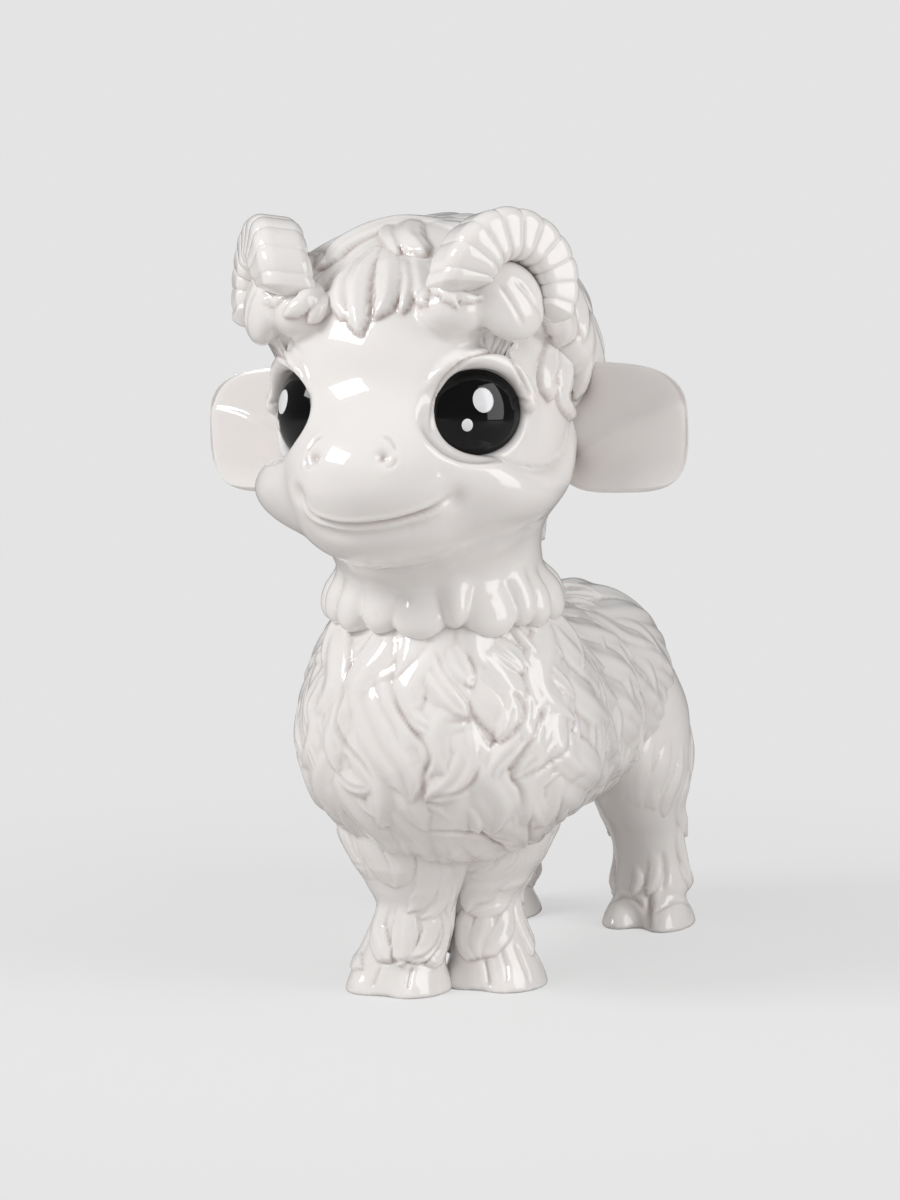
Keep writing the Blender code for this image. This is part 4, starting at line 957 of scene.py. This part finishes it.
def swept_horn(tree, material):
    """The horn's mesh as the tree makes it, lying in its own plane, in millimetres."""
    thing = in_scene("horn_path", bpy.data.meshes.new("horn_path"))
    growth = thing.modifiers.new("growth", "NODES")
    growth.node_group = tree
    for socket in tree.interface.items_tree:
        if socket.in_out == "INPUT":
            growth[socket.identifier] = material if socket.name == "Glaze" else HORN_SIZES[socket.name]
    mesh = plain_mesh(thing)
    thing.modifiers.clear()
    bpy.data.objects.remove(thing)
    return mesh


def make_horn(tree, side, hand, material):
    mesh = swept_horn(tree, material)
    flat = mesh_points(mesh)
    across = flat[:, 0] * math.cos(HORN_START) - flat[:, 1] * math.sin(HORN_START)
    above = flat[:, 0] * math.sin(HORN_START) + flat[:, 1] * math.cos(HORN_START)
    sideways, upward, outward = faced(HORN_TURN, HORN_RISE)
    swept = (HORN_START - np.arctan2(above, across)) % math.tau
    sunk = HORN_SUNK * np.clip(1.0 - swept / HORN_SUNK_TURN, 0.0, 1.0) ** 2
    # What lies just before the start belongs to its rounded end
    sunk = np.where(swept > HORN_WHOLE_TURN, HORN_SUNK, sunk)
    points = (HORN_MIDDLE + across[:, None] * sideways + above[:, None] * upward
              + (flat[:, 2] - sunk)[:, None] * outward)
    shape = bmesh.new()
    shape.from_mesh(mesh)
    moulded(shape, on_side(points, hand), mesh, merged=0.001)
    return cast("horn_" + side, mesh, None, material)


# Ears

EAR_ROOT = np.array((37.0, -54.0, 181.4))
EAR_SIZE = (44.0, 12.5, 41.0)
EAR_BLUNTNESS = 3.4
EAR_SCOOP = 4.6
# Pits in the scoop: depth, place along the ear and up it, and size in both directions
EAR_PITS = ((5.6, 0.12, 0.66, 0.15, 0.30), (2.2, 0.14, -0.58, 0.16, 0.30))
# The scoop's rim, as shares of the ear's half length and half height, and how far it lies below the top
RIM_ALONG, RIM_UP, RIM_LOW = 0.88, 1.02, 0.06
# The fold: its level at the ear's tip, its drop to the root and the bend of its line, then its height, its
# slow rise from below and its steep fall above
FOLD_LEVEL, FOLD_DROP, FOLD_END, FOLD_BEND = 0.42, 1.15, 1.02, 1.6
FOLD_HEIGHT, FOLD_RISE, FOLD_FALL = 1.5, 0.55, 0.035
# How much lower the ear gets towards its tip, above and below, with what bend, and how much thinner
TAPER_ABOVE, TAPER_BELOW, EAR_TAPER_BEND, EAR_THINNING = 0.20, 0.02, 2.2, 0.15


def make_ear(side, hand, material):
    """A squared-off paddle, scooped on the front, with a fold that runs out from its root."""
    shape, unit = unit_ball(7)
    flat = np.abs(unit[:, 0]) ** EAR_BLUNTNESS + np.abs(unit[:, 2]) ** EAR_BLUNTNESS
    local = unit * ((flat + np.abs(unit[:, 1]) ** 2) ** (-1.0 / EAR_BLUNTNESS))[:, None]
    out, up = local[:, 0], local[:, 2]
    share = (out + 1.0) / 2.0
    # 1 in the middle of the front, 0 at the rim and on the back
    inside = np.clip(1.0 - (out * RIM_ALONG) ** 4 - (up * RIM_UP - RIM_LOW) ** 4, 0.0, 1.0)
    front = np.clip(-unit[:, 1] * 4.0, 0.0, 1.0)
    upper_pit, lower_pit = [
        depth * np.exp(-((share - along) / length) ** 2 - ((up - above) / breadth) ** 2)
        for depth, along, above, length, breadth in EAR_PITS]
    scoop = inside * front * (EAR_SCOOP + upper_pit + lower_pit)
    # How high over the fold's line each point lies
    over = up - FOLD_LEVEL + FOLD_DROP * np.abs(FOLD_END - share) ** FOLD_BEND
    crest = np.exp(-np.maximum(-over, 0.0) / FOLD_RISE) / (1.0 + np.exp(over / FOLD_FALL))
    ridge = -FOLD_HEIGHT * crest * inside * front
    drop = np.where(up > 0.0, TAPER_ABOVE, TAPER_BELOW) * share ** EAR_TAPER_BEND
    place = np.stack([share * EAR_SIZE[0],
                      local[:, 1] * EAR_SIZE[1] / 2.0 * (1.0 - EAR_THINNING * share) + scoop + ridge,
                      up * EAR_SIZE[2] / 2.0 * (1.0 - drop)], axis=1)
    mesh = moulded(shape, on_side(EAR_ROOT + place, hand), bpy.data.meshes.new("ear_" + side))
    # Painted shade in the ear's scoop, darkest in its pits
    shade_hollows(mesh, inside * front * (0.5 + upper_pit + lower_pit), EAR_SHADE_DEPTH)
    return cast("ear_" + side, mesh, None, material)


# Eyes: a dome of black glaze with two drops of white enamel

def oval(name, middle, axes, size, hand, segments, material):
    shape = bmesh.new()
    bmesh.ops.create_uvsphere(shape, u_segments=segments, v_segments=segments // 2, radius=0.5)
    local = np.array([vertex.co[:] for vertex in shape.verts]) * size
    points = on_side(middle + local @ np.stack(axes), hand)
    mesh = moulded(shape, points, bpy.data.meshes.new(name))
    return cast(name, mesh, None, material)


# The drops of enamel: name, diameter, and place sideways and upwards on the dome
EYE_DROPS = (("large", 6.7, 0.2, 3.6), ("small", 3.4, -5.0, -3.6))
DROP_STRETCH = 1.14
DROP_THICKNESS = 1.0
EYE_SEGMENTS, DROP_SEGMENTS = 96, 40


def make_eye(side, hand, black, enamel):
    axes = faced(EYE_TURN, EYE_RISE)
    oval("eye_" + side, EYE_MIDDLE, axes, EYE_SIZE, hand, EYE_SEGMENTS, black)
    # The drops lie where a window's light would, on the same side of both eyes
    for size, diameter, aside, rise in EYE_DROPS:
        aside = aside * hand
        share = (aside / (EYE_SIZE[0] / 2.0)) ** 2 + (rise / (EYE_SIZE[1] / 2.0)) ** 2
        ahead = EYE_SIZE[2] / 2.0 * math.sqrt(1.0 - share)
        spot = EYE_MIDDLE + axes[0] * aside + axes[1] * rise + axes[2] * ahead
        normal = (axes[0] * aside / EYE_SIZE[0] ** 2 + axes[1] * rise / EYE_SIZE[1] ** 2
                  + axes[2] * ahead / EYE_SIZE[2] ** 2)
        normal /= np.linalg.norm(normal)
        across = np.cross(axes[1], normal)
        across /= np.linalg.norm(across)
        name = "eye_highlight_" + size + "_" + side
        drop = (diameter, diameter * DROP_STRETCH, DROP_THICKNESS)
        axes_there = (across, np.cross(normal, across), normal)
        oval(name, spot, axes_there, drop, hand, DROP_SEGMENTS, enamel)


# Finishes

def linear(code):
    """A screen colour such as E8E4E0 as the linear values that the shader works in."""
    parts = [int(code[start:start + 2], 16) / 255.0 for start in (0, 2, 4)]
    light = [part / 12.92 if part <= 0.04045 else ((part + 0.055) / 1.055) ** 2.4 for part in parts]
    return (*light, 1.0)


def new_finish(name):
    material = bpy.data.materials.new(name)
    material.use_nodes = True
    tree = material.node_tree
    place = add(tree, "ShaderNodeTexCoord").outputs["Object"]
    return material, tree, tree.nodes["Principled BSDF"], place


def glazed_porcelain():
    """Slip-cast porcelain under a clear fired glaze: white, with painted shade of warm rose-grey in the
    hollows of the carving and the ears' scoops, a trace of light let into the body, and a sharp wet-looking
    coat."""
    material, tree, shader, place = new_finish("glazed_porcelain")
    # Clouding of the fired body, some 25 mm across, and specks under a millimetre
    cloud = add(tree, "ShaderNodeTexNoise", None, {
        "Vector": place, "Scale": 40.0, "Detail": 3.0}).outputs["Fac"]
    speck = add(tree, "ShaderNodeTexNoise", None, {
        "Vector": place, "Scale": 1400.0, "Detail": 1.0}).outputs["Fac"]
    # Painted shade: a mark on the mesh turns the colour towards a darker rose-grey in the hollows of the
    # carving and in the ears' scoops
    hollow_shade = add(tree, "ShaderNodeAttribute", {"attribute_name": "hollow_shade"}).outputs["Fac"]
    body = add(tree, "ShaderNodeMix", {"data_type": "RGBA"}, {
        0: cloud, 6: linear("EDEBE9"), 7: linear("E8E4E2")}).outputs[2]
    shaded_in_hollows = add(tree, "ShaderNodeMix", {"data_type": "RGBA"}, {
        0: hollow_shade, 6: body, 7: linear("B6A19B")}).outputs[2]
    matt = add(tree, "ShaderNodeMapRange", None, {0: speck, 3: 0.20, 4: 0.30}).outputs[0]
    # The glaze's surface rolls by hundredths of a millimetre over about 6 mm, with fine peel on top
    roll = add(tree, "ShaderNodeTexNoise", None, {
        "Vector": place, "Scale": 160.0, "Detail": 1.5}).outputs["Fac"]
    peel = add(tree, "ShaderNodeTexNoise", None, {
        "Vector": place, "Scale": 900.0, "Detail": 1.0}).outputs["Fac"]
    slow = add(tree, "ShaderNodeBump", None, {
        "Strength": 0.07, "Distance": 0.0005, "Height": roll}).outputs[0]
    fine = add(tree, "ShaderNodeBump", None, {
        "Strength": 0.05, "Distance": 0.0001, "Height": peel, "Normal": slow}).outputs[0]
    plug(tree, shader, {
        "Base Color": shaded_in_hollows, "Roughness": matt, "IOR": 1.50, "Specular IOR Level": 0.12,
        "Subsurface Weight": 0.25, "Subsurface Radius": (1.0, 0.8, 0.65), "Subsurface Scale": 0.0016,
        "Coat Weight": 1.0, "Coat Roughness": 0.012, "Coat IOR": 1.52,
        "Normal": fine, "Coat Normal": slow})
    return material


def black_eye_glaze():
    """Black glaze, flooded thick over the dome: it is near black in depth and mirrors the lamps."""
    material, tree, shader, place = new_finish("black_eye_glaze")
    # The glaze's depth of tone shifts over some 8 mm, and its surface rolls over 5 mm
    depth = add(tree, "ShaderNodeTexNoise", None, {
        "Vector": place, "Scale": 120.0, "Detail": 2.0}).outputs["Fac"]
    tone = add(tree, "ShaderNodeMix", {"data_type": "RGBA"}, {
        0: depth, 6: linear("050506"), 7: linear("0B0B0C")}).outputs[2]
    roll = add(tree, "ShaderNodeTexNoise", None, {
        "Vector": place, "Scale": 200.0, "Detail": 1.0}).outputs["Fac"]
    bump = add(tree, "ShaderNodeBump", None, {
        "Strength": 0.06, "Distance": 0.0004, "Height": roll}).outputs[0]
    plug(tree, shader, {
        "Base Color": tone, "Roughness": 0.08, "IOR": 1.45, "Specular IOR Level": 0.22,
        "Coat Weight": 0.25, "Coat Roughness": 0.02, "Normal": bump})
    return material


def white_eye_enamel():
    """Opaque white enamel laid on in drops: a touch greyer and softer than the glaze round it."""
    material, tree, shader, place = new_finish("white_eye_enamel")
    # Clouding about a millimetre across, so that a drop shows a few patches
    cloud = add(tree, "ShaderNodeTexNoise", None, {
        "Vector": place, "Scale": 900.0, "Detail": 2.0}).outputs["Fac"]
    tone = add(tree, "ShaderNodeMix", {"data_type": "RGBA"}, {
        0: cloud, 6: linear("E6E6E8"), 7: linear("DCDDE0")}).outputs[2]
    plug(tree, shader, {"Base Color": tone, "Roughness": 0.25, "Coat Weight": 0.5, "Coat Roughness": 0.08})
    return material


# Making of the pieces

# Painted shade is at its darkest in hollows this deep: in the carving, and in the ears' scoops
CARVING_SHADE_DEPTH, EAR_SHADE_DEPTH = 1.1, 5.2


def shade_hollows(mesh, hollow, depth=CARVING_SHADE_DEPTH):
    """Keeps on the mesh how deep the painted shade in the hollows is, from 0 to 1."""
    mark = mesh.attributes.new("hollow_shade", "FLOAT", "POINT")
    mark.data.foreach_set("value", np.clip(hollow / depth, 0.0, 1.0).astype(np.float32))


def traced_locks(skin, strokes, base, growth, doubled_from=math.inf, mirror=None, wide=math.inf):
    """Raises the locks that the picture shows. Those far out on the left stand on the right as well, and
    the wide ones have three strands."""
    for width, *spots in strokes:
        path = seen_on(skin.form, spots)
        width = width * STROKE_MM
        for line in (path, mirror(path)) if path[:, 0].mean() > doubled_from else (path,):
            skin.lock(line, width, base + growth * width, 3 if width > wide else 2)


def carved_piece(name, skin, mesh, material):
    # Painted shade in the carving's hollows
    shade_hollows(mesh, hollowness(skin, mesh_edges(mesh)))
    return cast(name, mesh, skin.carved(), material)


def make_trunk(material):
    form = trunk_form()
    spine = (CHEST, RUMP)
    skin, mesh = even_skin("torso", form, spine, grain=0.80)
    rows = fleece_rows(form, spine, rows=7, top=30.0, hem=150.0, length=34.0, spacing=14.5, bend=5.0)
    for path in rows:
        skin.lock(path, width=15.5, height=3.3)
    traced_locks(skin, FLEECE_STROKES, base=1.6, growth=0.14, doubled_from=22.0, mirror=mirrored, wide=9.0)
    for spots in FLEECE_CREASES:
        skin.crease(seen_on(form, spots), width=1.8, depth=0.75, sides=0.25)
    return carved_piece("torso", skin, mesh, material)


def make_head(material):
    form = head_form()
    skin, mesh = even_skin("head", form, (NECK, HEAD), grain=0.75)
    for path in back_hair_rows(form):
        skin.lock(path, width=BACK_HAIR["width"] + 1.5, height=3.2)
    traced_locks(skin, HAIR_STROKES, base=1.5, growth=0.17, doubled_from=24.0, mirror=to_far_side)
    skin.crease(seen_on(form, MOUTH), width=2.0, depth=1.5, sides=0.35)
    below = [(x, y + LIP_DROP) for x, y in MOUTH[1:-1]]
    skin.crease(seen_on(form, below), width=6.5, depth=1.1)
    skin.crease(seen_on(form, CHIN_CREASE), width=1.6, depth=0.5, sides=0.6)
    for spot in seen_on(form, MOUTH_CORNERS):
        skin.bulge(spot, size=7.0, height=-1.6)
    pit = seen_on(form, [NOSTRIL])
    for spot in (pit[0], to_far_side(pit)[0]):
        skin.bulge(spot, size=3.8, height=-1.9)
    for width, depth, sides, *spots in SIDE_CREASES:
        path = seen_on(form, spots)
        for line in (path, to_far_side(path)):
            skin.crease(line, width, depth, sides)
    return carved_piece("head", skin, mesh, material)


# Lines of the locks down a leg or the tail: how many points each has, and how it swings, in degrees
ROW_POINTS = 7
ROW_BEND, ROW_SWING = 16.0, 1.4
LEVEL_TURNS = np.full(ROW_POINTS, 90.0)
LEG_SPINE = (8.0, 60.0)


def leg_rows(form, place, turns, top, foot, bend):
    """Lines down a leg, one at each turn, that swing to and fro on their way from the top to the foot."""
    share = np.linspace(0.0, 1.0, ROW_POINTS)
    heights = top + (foot - top) * share
    for index, turn in enumerate(turns):
        swing = bend * np.sin(math.pi * ROW_SWING * share) * (1.0 if index % 2 else -1.0)
        hubs = np.column_stack([np.full(ROW_POINTS, place[0]), np.full(ROW_POINTS, place[1]), heights])
        yield landed(form, hubs, compass(LEVEL_TURNS, turn + swing))


def dress_leg(name, form, place, grain, strokes, lines, bare, material):
    """Fleece down to the hoof: traced locks where the picture shows them, rows elsewhere."""
    spine = [(*place, height) for height in LEG_SPINE]
    skin, mesh = even_skin(name, form, spine, grain, facets=5)
    for top, foot, count, width, height in LEG_ROWS:
        turns = [360.0 / count * index for index in range(count)]
        hidden = [turn for turn in turns if not bare[0] < (turn + 180.0) % 360.0 - 180.0 < bare[1]]
        for path in leg_rows(form, place, hidden, top, foot, ROW_BEND):
            skin.lock(path, width, height)
    traced_locks(skin, strokes, base=0.9, growth=0.13)
    for width, depth, *spots in lines:
        skin.crease(seen_on(form, spots), width, depth, sides=0.25)
    # The sole keeps its plain form
    skin.relief *= np.clip(1.0 + skin.normals[:, 2] * 1.6, 0.0, 1.0)
    # Painted shade in the carving's hollows
    shade_hollows(mesh, hollowness(skin, mesh_edges(mesh)))
    points = skin.carved()
    points[:, 2] = np.maximum(points[:, 2], 0.0)
    cast(name, mesh, points, material)


# Legs: name, form, foot, grain of the skin, traced locks and lines, and the turns at which these lie,
# where no rows of locks start
LEGS = (
    ("front_leg_right", front_leg_form(FRONT_RIGHT, 1.0), FRONT_RIGHT, 0.55,
     FRONT_RIGHT_STROKES, FRONT_RIGHT_LINES, (-62.0, 100.0)),
    ("front_leg_left", front_leg_form(FRONT_LEFT, -1.0), FRONT_LEFT, 0.55,
     FRONT_LEFT_STROKES, FRONT_LEFT_LINES, (-62.0, 100.0)),
    ("hind_leg_left", hind_leg_form(HIND_LEFT, -1.0), HIND_LEFT, 0.62,
     HIND_LEFT_STROKES, HIND_LEFT_LINES, (-50.0, 84.0)),
    ("hind_leg_right", hind_leg_form(HIND_RIGHT, 1.0), HIND_RIGHT, 0.62, (), (), (0.0, 0.0)),
)
TAIL_ROOT, TAIL_TIP = np.array((0.0, 93.5, 101.0)), np.array((0.0, 107.5, 74.5))
# Rows of locks round the tail: where each one starts and ends along it, and the turns of its locks
TAIL_ROWS = ((0.45, 1.05, range(0, 360, 72)), (-0.05, 0.62, range(36, 396, 72)))


def make_tail(material):
    form = limb(TAIL_ROOT, TAIL_TIP, start_diameter=17.0, end_diameter=9.0)
    skin, mesh = even_skin("tail", form, (TAIL_ROOT, TAIL_TIP), grain=0.5, facets=5)
    for first, last, turns in TAIL_ROWS:
        share = np.linspace(first, last, ROW_POINTS)
        hubs = TAIL_ROOT + share[:, None] * (TAIL_TIP - TAIL_ROOT)
        swing = ROW_BEND * np.sin(math.pi * ROW_SWING * share)
        for turn in turns:
            path = landed(form, hubs, compass(LEVEL_TURNS, turn + swing))
            skin.lock(path, width=7.5, height=1.5)
    carved_piece("tail", skin, mesh, material)


porcelain = glazed_porcelain()
black = black_eye_glaze()
enamel = white_eye_enamel()
make_trunk(porcelain)
make_head(porcelain)
for leg in LEGS:
    dress_leg(*leg, porcelain)
make_tail(porcelain)
growth_tree = horn_tree()
for side_name, side_hand in (("left", 1.0), ("right", -1.0)):
    make_horn(growth_tree, side_name, side_hand, porcelain)
    make_ear(side_name, side_hand, porcelain)
    make_eye(side_name, side_hand, black, enamel)


# Stage: a pale floor that fades into a pale room, a window of soft light, a dim card opposite, and a
# low fill in front that the glaze doesn't mirror

BACKDROP = "E4E4E4"
LAMPS_LOOK_AT = (0.0, -0.03, 0.13)
FLOOR_HALF = 6.0
# The floor's fade, in metres from the figure, and how much of the backdrop it shows where it starts
FADE_FROM, FADE_TO, FADE_START = 0.11, 0.42, 0.66
# The world's strength as light, as what is mirrored, and as the camera sees it
WORLD_LIGHT, WORLD_MIRRORED, WORLD_SEEN = 0.53, 0.24, 1.0


def make_floor():
    """Matt white board. Far from the figure it turns into the backdrop, so that no horizon shows."""
    mesh = bpy.data.meshes.new("floor")
    corners = [(x * FLOOR_HALF, y * FLOOR_HALF, 0.0) for x, y in ((-1, -1), (1, -1), (1, 1), (-1, 1))]
    mesh.from_pydata(corners, [], [(0, 1, 2, 3)])
    material, tree, shader, place = new_finish("pale_floor")
    # 1 where the camera itself looks, 0 for light that bounces or mirrors
    seen = add(tree, "ShaderNodeLightPath").outputs["Is Camera Ray"]
    shade = add(tree, "ShaderNodeMix", {"data_type": "RGBA"}, {
        0: seen, 6: linear("C8C5C3"), 7: linear("F4F4F4")}).outputs[2]
    plug(tree, shader, {"Base Color": shade, "Roughness": 0.9, "Specular IOR Level": 0.1})
    away = add(tree, "ShaderNodeVectorMath", {"operation": "LENGTH"}, {0: place}).outputs["Value"]
    faded = add(tree, "ShaderNodeMapRange", {"interpolation_type": "SMOOTHSTEP"}, {
        "Value": away, "From Min": FADE_FROM, "From Max": FADE_TO}).outputs[0]
    paled = add(tree, "ShaderNodeMapRange", None, {"Value": faded, "To Min": FADE_START}).outputs[0]
    share = add(tree, "ShaderNodeMath", {"operation": "MULTIPLY"}, {0: paled, 1: seen}).outputs[0]
    backdrop = add(tree, "ShaderNodeEmission", None, {"Color": linear(BACKDROP), "Strength": 1.0})
    mixed = add(tree, "ShaderNodeMixShader", None, {
        0: share, 1: shader.outputs[0], 2: backdrop.outputs[0]})
    plug(tree, tree.nodes["Material Output"], {"Surface": mixed.outputs[0]})
    mesh.materials.append(material)
    floor = in_scene("floor", mesh)


def make_world():
    """Pale behind the figure; the light that it gives is dimmer, and what mirrors see dimmer still."""
    world = bpy.data.worlds.new("pale_room")
    bpy.context.scene.world = world
    world.use_nodes = True
    tree = world.node_tree
    path = add(tree, "ShaderNodeLightPath")
    dim = add(tree, "ShaderNodeMix", None, {
        0: path.outputs["Is Glossy Ray"], 2: WORLD_LIGHT, 3: WORLD_MIRRORED}).outputs[0]
    strength = add(tree, "ShaderNodeMix", None, {
        0: path.outputs["Is Camera Ray"], 2: dim, 3: WORLD_SEEN}).outputs[0]
    plug(tree, tree.nodes["Background"], {"Color": linear(BACKDROP), "Strength": strength})


def make_lamp(name, turn, rise, distance, size, power):
    """A soft rectangular lamp that looks at the figure from a turn off its front and a rise."""
    light = bpy.data.lights.new(name, "AREA")
    light.shape = "RECTANGLE"
    light.size, light.size_y = size
    light.energy = power
    lamp = in_scene(name, light)
    turn, rise = math.radians(turn), math.radians(rise)
    towards = Vector((math.sin(turn) * math.cos(rise), -math.cos(turn) * math.cos(rise), math.sin(rise)))
    lamp.location = Vector(LAMPS_LOOK_AT) + towards * distance
    lamp.rotation_euler = towards.to_track_quat("Z", "Y").to_euler()
    return lamp


def make_camera():
    camera = in_scene("camera", bpy.data.cameras.new("camera"))
    camera.data.lens = PICTURE_LENS / PICTURE[1] * FILM
    camera.data.sensor_width = FILM
    camera.data.clip_start = 0.01
    camera.location = (EYE_POINT + (0.0, SHIFT, 0.0)) * MM
    back = -(math.cos(VIEW_PITCH) * DEEP - math.sin(VIEW_PITCH) * UP)
    camera.rotation_euler = Vector(back).to_track_quat("Z", "Y").to_euler()
    bpy.context.scene.camera = camera


make_floor()
make_world()
make_lamp("window", turn=-42.0, rise=37.0, distance=1.25, size=(0.55, 0.36), power=7.9)
make_lamp("card", turn=84.0, rise=20.0, distance=0.95, size=(0.5, 0.9), power=4.6)
low_fill = make_lamp("low_fill", turn=-12.0, rise=8.0, distance=1.2, size=(0.9, 0.6), power=2.2)
low_fill.visible_glossy = False
make_camera()
bpy.context.scene.view_settings.view_transform = "Standard"
